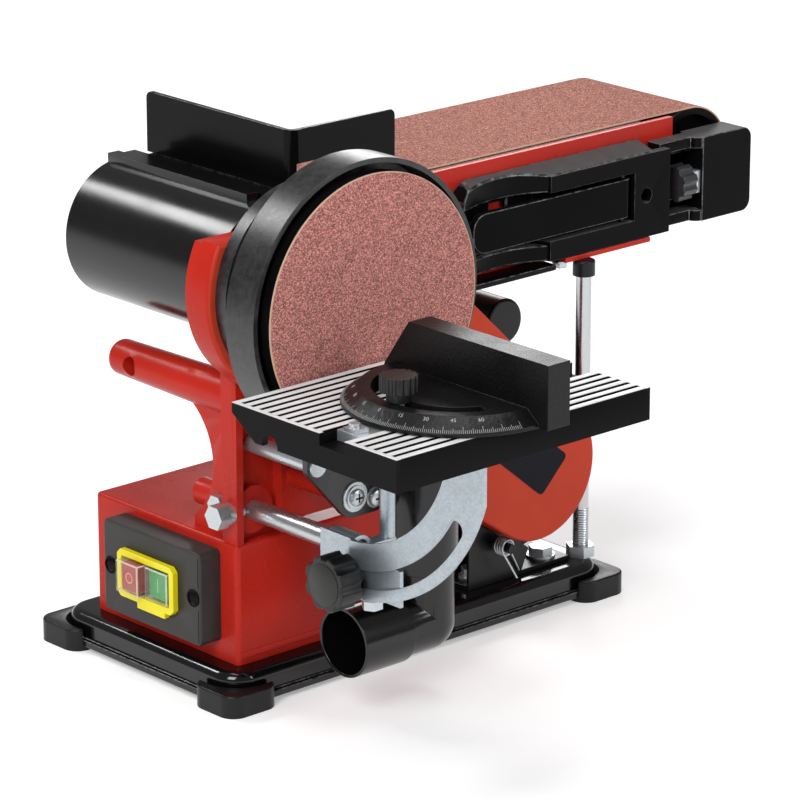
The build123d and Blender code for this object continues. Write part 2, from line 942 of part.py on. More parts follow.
# Motor bracket: deck plate, two saddle walls and a front gusset with the spring's pin
spring_x = motor_dx + spring_pin_dx
pin_z = motor_dz + spring_pin_dz
with BuildPart() as motor_bracket:
    with BuildSketch(upright(bracket_front + bracket_length)):
        with Locations((motor_dx, deck_z)):
            Rectangle(2 * bracket_half, bracket_plate, align=(Align.CENTER, Align.MIN))
    extrude(amount=bracket_length)
    with BuildSketch(upright(bracket_front + bracket_length)):
        with Locations((motor_dx - bracket_half / 3, deck_z), (motor_dx + bracket_half / 3, deck_z)):
            Rectangle(bracket_wall, motor_dz - deck_z, align=(Align.CENTER, Align.MIN))
        with Locations((motor_dx, motor_dz)):
            Circle(motor_r, mode=Mode.SUBTRACT)
    extrude(amount=bracket_length - bracket_step)
    with BuildSketch(upright(bracket_front + gusset_sheet)):
        with BuildLine():
            Polyline(
                (motor_dx - bracket_half, deck_z),
                (motor_dx - bracket_half, pin_z + gusset_high),
                (spring_x + gusset_reach, pin_z - gusset_low),
                (spring_x + gusset_foot, deck_z),
                close=True,
            )
        make_face()
        with Locations((motor_dx, motor_dz)):
            Circle(motor_flange_r + gap_clear, mode=Mode.SUBTRACT)
    extrude(amount=gusset_sheet)
    with BuildSketch(upright(bracket_front)):
        with Locations((spring_x, pin_z)):
            Circle(pin_r)
    extrude(amount=pin_length)
save(motor_bracket.part, "motor_bracket")


def biarc_joint(start, start_dir, end, end_dir):
    """Meeting point of the two equal-tangent arcs that join two points with given directions."""
    chord = end - start
    lean = start_dir + end_dir
    spread = 2 * (1 - start_dir.dot(end_dir))
    reach = (-chord.dot(lean) + sqrt(chord.dot(lean) ** 2 + spread * chord.dot(chord))) / spread
    return (start + end + (start_dir - end_dir) * reach) / 2


def coil_point(turn):
    """A point of the spring's centre line after a number of turns about its pin, and its direction."""
    swing = 2 * pi * turn + radians(spring_lean)
    slope = spring_pitch / (2 * pi)
    along = spring_back - spring_pitch * turn
    at = spot(spring_x + spring_r * cos(swing), along, pin_z + spring_r * sin(swing))
    way = Vector(-spring_r * sin(swing), -slope, spring_r * cos(swing)).normalized()
    return at, way


# Torsion spring on the pin, one leg down to the bracket's plate and one along its gusset
spring_back = bracket_front - spring_stand
quarters = 4 * spring_turns + 2
with BuildPart() as tension_spring:
    with BuildLine() as spring_path:
        first_at, first_way = coil_point(0)
        leg_drop = first_at.Z - base_top - bracket_plate - spring_wire
        Line(first_at - first_way * (leg_drop / first_way.Z), first_at)
        for quarter in range(quarters):
            turn_at, turn_way = coil_point(quarter / 4)
            next_at, next_way = coil_point((quarter + 1) / 4)
            joint = biarc_joint(turn_at, turn_way, next_at, next_way)
            first_arc = TangentArc(turn_at, joint, tangent=turn_way)
            TangentArc(joint, next_at, tangent=first_arc % 1)
        last_at, last_way = coil_point(quarters / 4)
        Line(last_at, last_at + last_way * spring_leg)
    with BuildSketch(Plane(origin=spring_path.line @ 0, z_dir=spring_path.line % 0)):
        Circle(spring_wire / 2)
    sweep(path=spring_path.line)
spring_gap = spring_pitch * spring_r / sqrt(spring_r**2 + (spring_pitch / (2 * pi)) ** 2) - spring_wire
print("least gap of the spring to itself", round(spring_gap, 2))
save(tension_spring.part, "tension_spring")

# Hex bolts on the deck and the nut of the support rod
rod_x = base_right - rod_inset
rod_y = base_front + rod_setback
bolt_y = (bracket_front + deck_bolt_in[1], bracket_front + bracket_length - deck_bolt_in[1])
bolt_spots = [(motor_dx + side * (bracket_half - deck_bolt_in[0]), y) for side in (-1, 1) for y in bolt_y]
with BuildPart() as base_bolts:
    with BuildSketch(level(deck_z + bracket_plate)):
        with Locations(*bolt_spots):
            Circle(deck_washer_r)
    extrude(amount=deck_washer)
    with BuildSketch(level(deck_z + bracket_plate + deck_washer)):
        with Locations(*bolt_spots):
            RegularPolygon(deck_hex_r, 6)
    extrude(amount=deck_hex)
    with BuildSketch(level(deck_z)):
        with Locations((rod_x, rod_y)):
            RegularPolygon(nut_r, 6)
            Circle(rod_r + seat_clear, mode=Mode.SUBTRACT)
    extrude(amount=nut_height)
save(base_bolts.part, "base_bolts")

# Support rod under the arm, with its rubber cap
cap_top = -frame_drop_z - slide_clear
with BuildPart() as support_rod:
    with BuildSketch(level(deck_z)):
        with Locations((rod_x, rod_y)):
            Circle(rod_r)
    extrude(amount=cap_top - cap_roof - deck_z)
save(support_rod.part, "support_rod")

with BuildPart() as rod_cap:
    with BuildSketch(level(cap_top - cap_height)):
        with Locations((rod_x, rod_y)):
            Circle(cap_r)
    extrude(amount=cap_height)
    fillet(rod_cap.faces().sort_by(Axis.Z)[-1].edges(), small_round)
    with BuildSketch(level(cap_top - cap_height)):
        with Locations((rod_x, rod_y)):
            Circle(rod_r + seat_clear)
    extrude(amount=cap_height - cap_roof, mode=Mode.SUBTRACT)
save(rod_cap.part, "rod_cap")

# Switch plate, yellow frame and the two buttons
plate_left = column_left - switch_thick
switch_top = box_top - switch_drop
switch_mid = (switch_front + switch_width / 2, switch_top - switch_height / 2)
frame_mid = (switch_front + frame_inset + frame_width / 2, switch_top - frame_drop - frame_height / 2)
window_width = frame_width - 2 * frame_border
window_height = frame_height - 2 * frame_border
button_width = window_width / 2 - gap_clear
with BuildPart() as switch_plate:
    with BuildSketch(flank(plate_left)):
        with Locations(switch_mid):
            RectangleRounded(switch_width, switch_height, switch_corner)
    extrude(amount=switch_thick)
    fillet(switch_plate.faces().sort_by(Axis.X)[0].edges(), switch_round)
    with BuildSketch(flank(plate_left)):
        with Locations(frame_mid):
            Rectangle(window_width + frame_border, window_height + frame_border)
    extrude(amount=switch_thick - button_floor, mode=Mode.SUBTRACT)
    with BuildSketch(flank(plate_left)):
        with Locations(
            (switch_front + recess_in, frame_mid[1]),
            (switch_front + switch_width - recess_in, frame_mid[1]),
        ):
            Circle(recess_r)
    extrude(amount=switch_thick - button_floor, mode=Mode.SUBTRACT)
save(switch_plate.part, "switch_plate")

with BuildPart() as switch_frame:
    with BuildSketch(flank(plate_left - frame_thick)) as switch_frame_face:
        with Locations(frame_mid):
            Rectangle(frame_width, frame_height)
        chamfer(switch_frame_face.vertices(), frame_corner)
        with Locations((frame_mid[0] - frame_tab_shift, frame_mid[1] - frame_height / 2)):
            Rectangle(frame_tab_width, frame_tab, align=(Align.CENTER, Align.MAX))
    extrude(amount=frame_thick)
    with BuildSketch(flank(plate_left)):
        with Locations(frame_mid):
            Rectangle(window_width + frame_border, window_height + frame_border)
    extrude(amount=switch_thick - button_floor)
    with BuildSketch(flank(plate_left - frame_thick)):
        with Locations(frame_mid):
            Rectangle(window_width, window_height)
    extrude(amount=switch_thick, mode=Mode.SUBTRACT)
save(switch_frame.part, "switch_frame")

button_back = column_left - button_floor - button_travel - gap_clear
button_spots = {
    "start_button": (frame_mid[0] - window_width / 4, start_proud),
    "stop_button": (frame_mid[0] + window_width / 4, stop_proud),
}
for button_name, (button_at, proud) in button_spots.items():
    with BuildPart() as button:
        button_face = plate_left - proud
        with BuildSketch(flank(button_face)):
            with Locations((button_at, frame_mid[1])):
                RectangleRounded(button_width - gap_clear, window_height - 2 * gap_clear, button_corner)
        extrude(amount=button_back - button_face)
        fillet(button.faces().sort_by(Axis.X)[0].edges(), small_round)
    save(button.part, button_name)

# Dust pipe: a moulded elbow, with a socket up to the guard and a hose socket out to the left
neck_r = dust_r - dust_neck
outlet_end = dust_mouth + dust_socket
with BuildPart() as dust_pipe:
    with BuildSketch(level(-dust_socket_low)):
        with Locations((dust_x, dust_y)):
            Circle(dust_r)
    extrude(amount=dust_socket_low - dust_top)
    with BuildSketch(level(-dust_drop)):
        with Locations((dust_x, dust_y)):
            Circle(neck_r)
    extrude(amount=dust_drop - dust_socket_low)
    with Locations(spot(dust_x, dust_y, -dust_drop)):
        Sphere(neck_r + elbow_spare)
    with BuildSketch(flank(outlet_end)):
        with Locations((dust_y, -dust_drop)):
            Circle(neck_r)
    extrude(amount=dust_x - outlet_end)
    with BuildSketch(flank(dust_mouth)):
        with Locations((dust_y, -dust_drop)):
            Circle(dust_r)
    extrude(amount=dust_socket)
    with BuildSketch(level(-dust_socket_low + dust_wall)):
        with Locations((dust_x, dust_y)):
            Circle(dust_r - dust_wall)
    extrude(amount=dust_socket_low - dust_wall - dust_top, mode=Mode.SUBTRACT)
    with BuildSketch(level(-dust_drop)):
        with Locations((dust_x, dust_y)):
            Circle(neck_r - dust_wall)
    extrude(amount=dust_drop - dust_socket_low + dust_wall, mode=Mode.SUBTRACT)
    with Locations(spot(dust_x, dust_y, -dust_drop)):
        Sphere(neck_r - dust_wall + elbow_spare, mode=Mode.SUBTRACT)
    with BuildSketch(flank(outlet_end - dust_wall)):
        with Locations((dust_y, -dust_drop)):
            Circle(neck_r - dust_wall)
    extrude(amount=dust_x - outlet_end + dust_wall, mode=Mode.SUBTRACT)
    with BuildSketch(flank(dust_mouth)):
        with Locations((dust_y, -dust_drop)):
            Circle(dust_r - dust_wall)
    extrude(amount=dust_socket - dust_wall, mode=Mode.SUBTRACT)
save(dust_pipe.part, "dust_pipe")

# Disc: machined plate with its hub, and the sanding paper on its face
with BuildPart() as disc_plate:
    with BuildSketch(upright(paper_thick + plate_thick)):
        Circle(disc_r)
    extrude(amount=plate_thick)
    fillet(disc_plate.faces().sort_by(Axis.Y)[-1].edges(), plate_round)
    with BuildSketch(upright(guard_back)):
        Circle(hub_r)
    extrude(amount=guard_back - paper_thick - plate_thick)
    with BuildSketch(upright(guard_back)):
        Circle(arbor_r + seat_clear)
    extrude(amount=guard_back - paper_thick - plate_thick, mode=Mode.SUBTRACT)
save(disc_plate.part, "disc_plate")

with BuildPart() as sanding_disc:
    with BuildSketch(upright(paper_thick)):
        Circle(disc_r)
    extrude(amount=paper_thick)
save(sanding_disc.part, "sanding_disc")

arbor_back = far_back + bearing_width + near_plate
with BuildPart() as arbor_shaft:
    with BuildSketch(upright(arbor_back)):
        Circle(arbor_r)
    extrude(amount=arbor_back - paper_thick - plate_thick)
    chamfer(arbor_shaft.faces().sort_by(Axis.Y)[-1].edges(), end_chamfer)
save(arbor_shaft.part, "arbor_shaft")

# Drive drum on the arbor and idler drum at the arm's end
drum_front = belt_front + drum_inset
drum_back = belt_back - drum_inset
with BuildPart() as drive_drum:
    with BuildSketch(upright(drum_back)):
        Circle(drum_r)
        Circle(arbor_r + seat_clear, mode=Mode.SUBTRACT)
    extrude(amount=drum_back - drum_front)
    with BuildSketch(upright(drum_front + drum_recess), upright(drum_back)):
        Circle(drum_r - drum_rim)
        Circle(arbor_r + drum_rim, mode=Mode.SUBTRACT)
    extrude(amount=drum_recess, mode=Mode.SUBTRACT)
save(drive_drum.part, "drive_drum")

with BuildPart() as idler_drum:
    with BuildSketch(upright(drum_back)):
        with Locations((idler_x, 0)):
            Circle(drum_r)
            Circle(axle_r + run_clear, mode=Mode.SUBTRACT)
    extrude(amount=drum_back - drum_front)
    with BuildSketch(upright(drum_front + drum_recess), upright(drum_back)):
        with Locations((idler_x, 0)):
            Circle(drum_r - drum_rim)
            Circle(axle_r + drum_rim, mode=Mode.SUBTRACT)
    extrude(amount=drum_recess, mode=Mode.SUBTRACT)
save(idler_drum.part, "idler_drum")

with BuildPart() as sanding_belt:
    with BuildSketch(upright(belt_back)):
        with Locations((idler_x / 2, 0)):
            SlotCenterToCenter(idler_x, 2 * drum_out)
            SlotCenterToCenter(idler_x, 2 * belt_in, mode=Mode.SUBTRACT)
    extrude(amount=belt_width)
save(sanding_belt.part, "sanding_belt")

# Arm frame: a red folded channel on the arbor's axis, open above under the belt
frame_top = belt_in - gap_clear
cheek_round = drum_r + cheek_margin
strip_end = idler_x - strip_short
plate_end = side_right
bottom_left = side_left + floor_left
bottom_right = side_right - floor_right
cup_r = bearing_r + cup_wall
cup_back = far_back + bearing_width + cup_room
with BuildPart() as arm_frame:
    with BuildSketch(upright(near_back)):
        Circle(cheek_round)
        with Locations((0, side_bottom)):
            Rectangle(plate_end, frame_top - side_bottom, align=(Align.MIN, Align.MIN))
        with Locations((strip_end, frame_top)):
            Rectangle(strip_end, frame_top - side_top, align=(Align.MAX, Align.MAX))
        with Locations((0, frame_top)):
            Rectangle(4 * cheek_round, cheek_round, align=(Align.CENTER, Align.MIN), mode=Mode.SUBTRACT)
        Circle(housing_r + run_clear, mode=Mode.SUBTRACT)
    extrude(amount=near_plate)
    with BuildSketch(upright(far_back)):
        Circle(cheek_round)
        with Locations((0, side_bottom)):
            Rectangle(strip_end, frame_top - side_bottom, align=(Align.MIN, Align.MIN))
        with Locations((0, frame_top)):
            Rectangle(4 * cheek_round, cheek_round, align=(Align.CENTER, Align.MIN), mode=Mode.SUBTRACT)
    extrude(amount=far_plate)
    with BuildSketch(level(-frame_drop_z)):
        with Locations((bottom_left, near_front)):
            Rectangle(bottom_right - bottom_left, far_back - near_front, align=(Align.MIN, Align.MIN))
        with Locations((rod_x - rod_pad, side_front)):
            Rectangle(bottom_right - rod_x + rod_pad, near_back - side_front, align=(Align.MIN, Align.MIN))
    extrude(amount=frame_sheet)
    with BuildSketch(upright(near_back)):
        with Locations((bottom_left, -frame_drop_z)):
            Rectangle(
                bottom_right - bottom_left, frame_drop_z + side_bottom + bite, align=(Align.MIN, Align.MIN)
            )
    extrude(amount=near_plate)
    with BuildSketch(upright(far_back)):
        with Locations((bottom_left, -frame_drop_z)):
            Rectangle(
                bottom_right - bottom_left, frame_drop_z + side_bottom + bite, align=(Align.MIN, Align.MIN)
            )
    extrude(amount=far_plate)
    with BuildSketch(upright(cup_back)):
        Circle(cup_r)
    extrude(amount=cup_back - far_front)
    with BuildSketch(upright(cup_back)):
        Circle(bearing_r)
    extrude(amount=cup_back - far_back, mode=Mode.SUBTRACT)
    with BuildSketch(upright(cup_back)):
        Circle(arbor_r + arbor_room)
    extrude(amount=cup_back - far_front, mode=Mode.SUBTRACT)
save(arm_frame.part, "arm_frame")

with BuildPart() as far_bearing:
    with BuildSketch(upright(far_back + bearing_width)):
        Circle(bearing_r - seat_clear)
        Circle(arbor_r + run_clear, mode=Mode.SUBTRACT)
    extrude(amount=bearing_width)
save(far_bearing.part, "far_bearing")

platen_left = drum_r + platen_gap
platen_right = idler_x - drum_r - carriage_travel - platen_room
with BuildPart() as platen:
    with BuildSketch(upright(far_front)):
        with Locations((platen_left, frame_top)):
            Rectangle(platen_right - platen_left, platen_thick, align=(Align.MIN, Align.MAX))
    extrude(amount=far_front - near_back)
save(platen.part, "platen")

# Hood round the drive drum, with its double top lip, stop flange and near tab
flange_z = drum_out + flange_rise
hood_far = 2 * hood_r
with BuildPart() as hood:
    with BuildSketch(upright(hood_back)):
        Circle(hood_r)
        Circle(hood_in, mode=Mode.SUBTRACT)
        with BuildLine():
            Polyline(
                (0, 0),
                (hood_far * cos(radians(hood_top_angle)), hood_far * sin(radians(hood_top_angle))),
                (-hood_far, hood_far),
                (-hood_far, -hood_far),
                (hood_far * cos(radians(hood_low_angle)), hood_far * sin(radians(hood_low_angle))),
                close=True,
            )
        make_face(mode=Mode.INTERSECT)
    extrude(amount=hood_back - hood_front)
    with BuildSketch(upright(hood_back)):
        with Locations((-lip_left, flange_z)):
            Rectangle(lip_run, lip_top - flange_z, align=(Align.MIN, Align.MIN))
        Circle(hood_in - bite, mode=Mode.SUBTRACT)
        with Locations((second_lip_left, flange_z)):
            Rectangle(second_lip_run, lip_top - second_lip_drop - flange_z, align=(Align.MIN, Align.MIN))
        with Locations((-lip_left / 2, flange_z)):
            Rectangle(lip_left / 2 + flange_run, flange_sheet, align=(Align.MIN, Align.MIN))
    extrude(amount=hood_back - near_front + lip_start)
    with BuildSketch(upright(near_front)):
        with Locations((near_tab_left, flange_z + flange_sheet)):
            Rectangle(near_tab_width, near_tab_drop, align=(Align.MIN, Align.MAX))
    extrude(amount=near_tab_depth)
    with BuildSketch(upright(hood_back)):
        Circle(hood_r)
        with Locations((0, 0)):
            Rectangle(hood_r, 2 * hood_r, align=(Align.MIN, Align.CENTER), mode=Mode.SUBTRACT)
        Circle(cup_r + seat_clear, mode=Mode.SUBTRACT)
    extrude(amount=hood_wall)
save(hood.part, "hood")

# Work stop: a bent plate across and along the belt
with BuildPart() as work_stop:
    with BuildSketch(level(flange_z + flange_sheet)):
        with BuildLine() as stop_line:
            FilletPolyline(
                (stop_x + stop_sheet / 2, stop_back),
                (stop_x + stop_sheet / 2, stop_front + stop_sheet / 2),
                (stop_x + stop_reach, stop_front + stop_sheet / 2),
                radius=stop_bend,
            )
        trace(line_width=stop_sheet)
    extrude(amount=stop_top - flange_z - flange_sheet)
    with BuildSketch(upright(stop_front + 2 * stop_sheet)):
        with Locations((stop_x + stop_bend, flange_z)):
            Rectangle(stop_notch, stop_notch_top - flange_z, align=(Align.MIN, Align.MIN))
    extrude(amount=3 * stop_sheet, mode=Mode.SUBTRACT)
    fillet(work_stop.edges().filter_by(Axis.X).group_by(Axis.Z)[-1].sort_by(Axis.Y)[-1], stop_corner)
    fillet(work_stop.edges().filter_by(Axis.Y).group_by(Axis.Z)[-1].sort_by(Axis.X)[-1], stop_corner)
save(work_stop.part, "work_stop")

# Side cover: moulded housing with a finger scoop, lever recess and slide grooves
lever_right = side_right - lever_short
pocket_right = lever_right + lever_room
pin_x = lever_right - pin_inset
pin_y = side_front + lever_inset + barrel_r
pocket_back = pin_y + barrel_r + pocket_room
tongue_z = (side_bottom + tongue_edge, side_top - tongue_edge - tongue_thick)
lip_y = near_front - scoop_back
shoulder_back = near_front - slide_clear
shoulder_end = side_right - shoulder_reach
shoulder_low = {"bottom": block_bottom, "top": block_top - shoulder_height}
with BuildPart() as side_cover:
    with BuildSketch(upright(near_front)):
        with Locations((side_left, side_bottom)):
            Rectangle(side_right - side_left, side_top - side_bottom, align=(Align.MIN, Align.MIN))
    extrude(amount=near_front - side_front)
    fillet(side_cover.edges().filter_by(Axis.Y).group_by(Axis.X)[0], side_corner)
    with BuildSketch(level(side_bottom)):
        with BuildLine():
            scoop_line = FilletPolyline(
                (side_body, side_front - bite),
                (side_body, side_front + bite),
                (side_body - scoop_round, lip_y),
                (side_left + scoop_run, lip_y),
                (side_left + scoop_left, side_front + scoop_front),
                (side_left - bite, side_front + scoop_front),
                radius=scoop_round / 2,
            )
            Polyline(scoop_line @ 1, (side_left - bite, side_front - bite), scoop_line @ 0)
        make_face()
    extrude(amount=side_top - side_bottom, mode=Mode.SUBTRACT)
    with BuildSketch(upright(near_front)):
        with Locations((side_left + window_in, lever_bottom - window_under)):
            Rectangle(
                side_body - scoop_round - side_left - window_in,
                lever_top - lever_bottom + window_under + window_over,
                align=(Align.MIN, Align.MIN),
            )
    extrude(amount=near_front - side_front, mode=Mode.SUBTRACT)
    with BuildSketch(upright(pocket_back)):
        with Locations((pocket_right, (lever_bottom + lever_top) / 2)):
            Rectangle(
                pocket_right - side_left,
                lever_top - lever_bottom + 2 * lever_side,
                align=(Align.MAX, Align.CENTER),
            )
    extrude(amount=pocket_back - side_front, mode=Mode.SUBTRACT)
    with BuildSketch(upright(side_front + side_hole_deep)):
        with Locations((pocket_right + side_hole_in, knob_z)):
            Circle(side_hole_r)
    extrude(amount=side_hole_deep, mode=Mode.SUBTRACT)
    with BuildSketch(upright(near_front)):
        for z in tongue_z:
            with Locations((side_right, z - slide_clear)):
                Rectangle(
                    tongue_reach, tongue_thick + 2 * slide_clear, align=(Align.MAX, Align.MIN)
                )
    extrude(amount=tongue_depth + slide_clear, mode=Mode.SUBTRACT)
    with BuildSketch(upright(near_front)):
        for z in shoulder_low.values():
            with Locations((side_right, z - slide_clear)):
                Rectangle(
                    shoulder_reach + carriage_travel + gap_clear,
                    shoulder_height + 2 * slide_clear,
                    align=(Align.MAX, Align.MIN),
                )
    extrude(amount=near_front - shoulder_front + slide_clear, mode=Mode.SUBTRACT)
    with BuildSketch(level(lever_bottom - pin_over)):
        with Locations((pin_x, pin_y)):
            Circle(lever_pin_r + seat_clear)
    extrude(amount=lever_top - lever_bottom + 2 * pin_over, mode=Mode.SUBTRACT)
save(side_cover.part, "side_cover")

with BuildPart() as lever_pin:
    with BuildSketch(level(lever_bottom - pin_over)):
        with Locations((pin_x, pin_y)):
            Circle(lever_pin_r)
    extrude(amount=lever_top - lever_bottom + 2 * pin_over)
save(lever_pin.part, "lever_pin")

lever_front = side_front + lever_inset
with BuildPart() as tension_lever:
    with BuildSketch(upright(lever_front + lever_thick)):
        with Locations((lever_left, lever_bottom)):
            Rectangle(pin_x - lever_left, lever_top - lever_bottom, align=(Align.MIN, Align.MIN))
    extrude(amount=lever_thick)
    fillet(tension_lever.edges().filter_by(Axis.Y).group_by(Axis.X)[0], lever_corner)
    with BuildSketch(level(lever_bottom)):
        with Locations((pin_x, pin_y)):
            Circle(barrel_r)
    extrude(amount=lever_top - lever_bottom)
    with BuildSketch(level(lever_bottom)):
        with Locations((pin_x, pin_y)):
            Circle(lever_pin_r + run_clear)
    extrude(amount=lever_top - lever_bottom, mode=Mode.SUBTRACT)
save(tension_lever.part, "tension_lever")

# Bottom cover under the arm's inner half, and its screws
under_left = side_left
under_right = rod_x - under_short
with BuildPart() as bottom_cover:
    with BuildSketch(level(-frame_drop_z - under_thick)):
        with Locations((under_left, side_front + under_set)):
            Rectangle(
                under_right - under_left, far_back - side_front - under_set, align=(Align.MIN, Align.MIN)
            )
    extrude(amount=under_thick)
    fillet(bottom_cover.edges().filter_by(Axis.Z).group_by(Axis.X)[0], under_corner)
save(bottom_cover.part, "bottom_cover")

screw_line = [
    (x, y)
    for x in (under_left + arm_screw_in[0], under_right - arm_screw_in[1])
    for y in (near_front + arm_screw_side[0], far_back - arm_screw_side[1])
]
with BuildPart() as arm_screws:
    with BuildSketch(level(-frame_drop_z - under_thick)):
        with Locations(*screw_line):
            Circle(arm_screw_r)
    extrude(amount=-arm_screw)
save(arm_screws.part, "arm_screws")

# Idler carriage: end block with two tongues, axle with its far cheek, tracking screw
block_left = idler_x - block_before
block_right = idler_x + block_after
with BuildPart() as end_block:
    with BuildSketch(upright(block_back)):
        with Locations((block_left, block_bottom)):
            Rectangle(block_right - block_left, block_top - block_bottom, align=(Align.MIN, Align.MIN))
    extrude(amount=block_back - side_front)
    fillet(end_block.edges().filter_by(Axis.Y).group_by(Axis.X)[-1], block_round)
    for z in shoulder_low.values():
        with BuildSketch(level(z)):
            with Locations((block_left + bite, shoulder_front)):
                Rectangle(
                    block_left + bite - shoulder_end,
                    shoulder_back - shoulder_front,
                    align=(Align.MAX, Align.MIN),
                )
        extrude(amount=shoulder_height)
        with BuildSketch(level(z)):
            with BuildLine():
                Polyline(
                    (block_left - shoulder_round, shoulder_front),
                    (block_left, shoulder_front),
                    (block_left, shoulder_front - shoulder_round),
                )
                RadiusArc(
                    (block_left, shoulder_front - shoulder_round),
                    (block_left - shoulder_round, shoulder_front),
                    shoulder_round,
                )
            make_face()
        extrude(amount=shoulder_height)
    with BuildSketch(upright(near_front - slide_clear)):
        for z in tongue_z:
            with Locations((block_left, z)):
                Rectangle(
                    tongue_reach - carriage_travel + block_left - side_right - gap_clear,
                    tongue_thick,
                    align=(Align.MAX, Align.MIN),
                )
    extrude(amount=tongue_depth - slide_clear)
    with BuildSketch(upright(block_back)):
        with Locations((idler_x, 0)):
            Circle(axle_r + seat_clear)
    extrude(amount=block_back - side_front - block_face, mode=Mode.SUBTRACT)
save(end_block.part, "end_block")

cheek_front = far_back + slide_clear
with BuildPart() as idler_axle:
    with BuildSketch(upright(cheek_front + cheek_thick)):
        with Locations((idler_x, 0)):
            Circle(axle_r)
    extrude(amount=cheek_front - side_front)
    with BuildSketch(upright(cheek_front + cheek_thick)):
        with Locations((idler_x - cheek_height, 0)):
            SlotOverall(cheek_length, cheek_height)
    extrude(amount=cheek_thick)
save(idler_axle.part, "idler_axle")

knob_left = side_right + carriage_travel + knob_room
knob_right = block_left - knob_back
with BuildPart() as tracking_screw:
    with BuildSketch(flank(block_left)):
        with Locations((knob_y, knob_z)):
            Circle(track_screw_r)
    extrude(amount=knob_left + knob_bite - block_left)
    with BuildSketch(flank(block_left)):
        with Locations((knob_y, knob_z)):
            Rectangle(track_nut, track_nut)
    extrude(amount=-track_nut_thick)
    with BuildSketch(flank(block_left - track_nut_thick)):
        with Locations((knob_y, knob_z)):
            Circle(track_washer_r)
    extrude(amount=-washer_thick)
save(tracking_screw.part, "tracking_screw")

with BuildPart() as tracking_knob:
    with BuildSketch(flank(knob_left)):
        with Locations((knob_y, knob_z)):
            Circle(track_knob_r)
            with PolarLocations(track_knob_r + track_lobe_out, track_lobes):
                Circle(track_lobe_r, mode=Mode.SUBTRACT)
    extrude(amount=knob_right - knob_left)
    with BuildSketch(flank(knob_right)):
        with Locations((knob_y, knob_z)):
            Circle(track_screw_r + run_clear)
    extrude(amount=knob_left + knob_bite - knob_floor - knob_right, mode=Mode.SUBTRACT)
save(tracking_knob.part, "tracking_knob")

# Table: ridged aluminium plate with skirts, mitre slot and hinge ears
ear_left = strap_left - gap_clear - ear_wall
ear_right = strap_left + strap_thick + gap_clear
notch_y = table_back - skirt_notch_at
with BuildPart() as table_top:
    with BuildSketch(level(plate_under_z)):
        with Locations((table_left, table_front)):
            Rectangle(table_right - table_left, table_depth, align=(Align.MIN, Align.MIN))
    extrude(amount=table_thick)
    with BuildSketch(level(plate_top_z)):
        y = table_back - ridge_width / 2
        while y > slot_back + ridge_width / 2:
            with Locations(((table_left + table_right) / 2, y)):
                Rectangle(table_right - table_left, ridge_width)
            y -= ridge_pitch
        y = slot_front - ridge_width / 2
        while y > table_front + ridge_width / 2:
            with Locations(((table_left + table_right) / 2, y)):
                Rectangle(table_right - table_left, ridge_width)
            y -= ridge_pitch
        for x in (table_left, table_right - border_width):
            with Locations((x, table_front)):
                Rectangle(border_width, slot_front - table_front, align=(Align.MIN, Align.MIN))
            with Locations((x, slot_back)):
                Rectangle(border_width, table_back - slot_back, align=(Align.MIN, Align.MIN))
    extrude(amount=ridge_height)
    with BuildSketch(flank(table_left), flank(table_right - skirt_wall)):
        with BuildLine():
            Polyline(
                (table_back, plate_top_z),
                (table_back, plate_under_z),
                (table_back - skirt_slant, skirt_z),
                (notch_y + skirt_notch_r, skirt_z),
            )
            ThreePointArc(
                (notch_y + skirt_notch_r, skirt_z),
                (notch_y, skirt_z + skirt_notch_high),
                (notch_y - skirt_notch_r, skirt_z),
            )
            Polyline(
                (notch_y - skirt_notch_r, skirt_z),
                (table_front, skirt_z),
                (table_front, plate_top_z),
                (table_back, plate_top_z),
            )
        make_face()
    extrude(amount=skirt_wall)
    with BuildSketch(upright(table_front + skirt_wall)):
        with Locations((table_left, skirt_z)):
            Rectangle(table_right - table_left, plate_top_z - skirt_z, align=(Align.MIN, Align.MIN))
    extrude(amount=skirt_wall)
    with BuildSketch(level(table_top_z - slot_depth - slot_floor)):
        with Locations((table_left, slot_mid)):
            Rectangle(
                table_right - table_left, slot_width + 2 * slot_floor, align=(Align.MIN, Align.CENTER)
            )
    extrude(amount=slot_depth + slot_floor - ridge_height)
    with BuildSketch(flank(ear_left), flank(ear_right)):
        with Locations((hinge_y, hinge_z)):
            Circle(2 * hinge_pin_r)
            Rectangle(4 * hinge_pin_r, plate_top_z - hinge_z, align=(Align.CENTER, Align.MIN))
    extrude(amount=ear_wall)
    with BuildSketch(flank(table_left)):
        with Locations((slot_mid, table_top_z)):
            Rectangle(slot_width, 2 * slot_depth)
    extrude(amount=table_right - table_left, mode=Mode.SUBTRACT)
    with BuildSketch(flank(ear_left)):
        with Locations((hinge_y, hinge_z)):
            Circle(hinge_pin_r + seat_clear)
    extrude(amount=ear_right + ear_wall - ear_left, mode=Mode.SUBTRACT)
save(table_top.part, "table_top")

# Quadrant: slotted sector under the table, bent over where it is bolted
quadrant_in = slot_r - tilt_slot_half - quadrant_band - quadrant_inner
quadrant_out = slot_r + tilt_slot_half + quadrant_edge
flange_rear = slot_front - slot_floor - flange_gap
flange_left = quadrant_x - flange_width


def on_arc(radius, angle):
    """Point about the table's hinge, at an angle forward of straight down."""
    return (hinge_y - radius * sin(radians(angle)), hinge_z - radius * cos(radians(angle)))


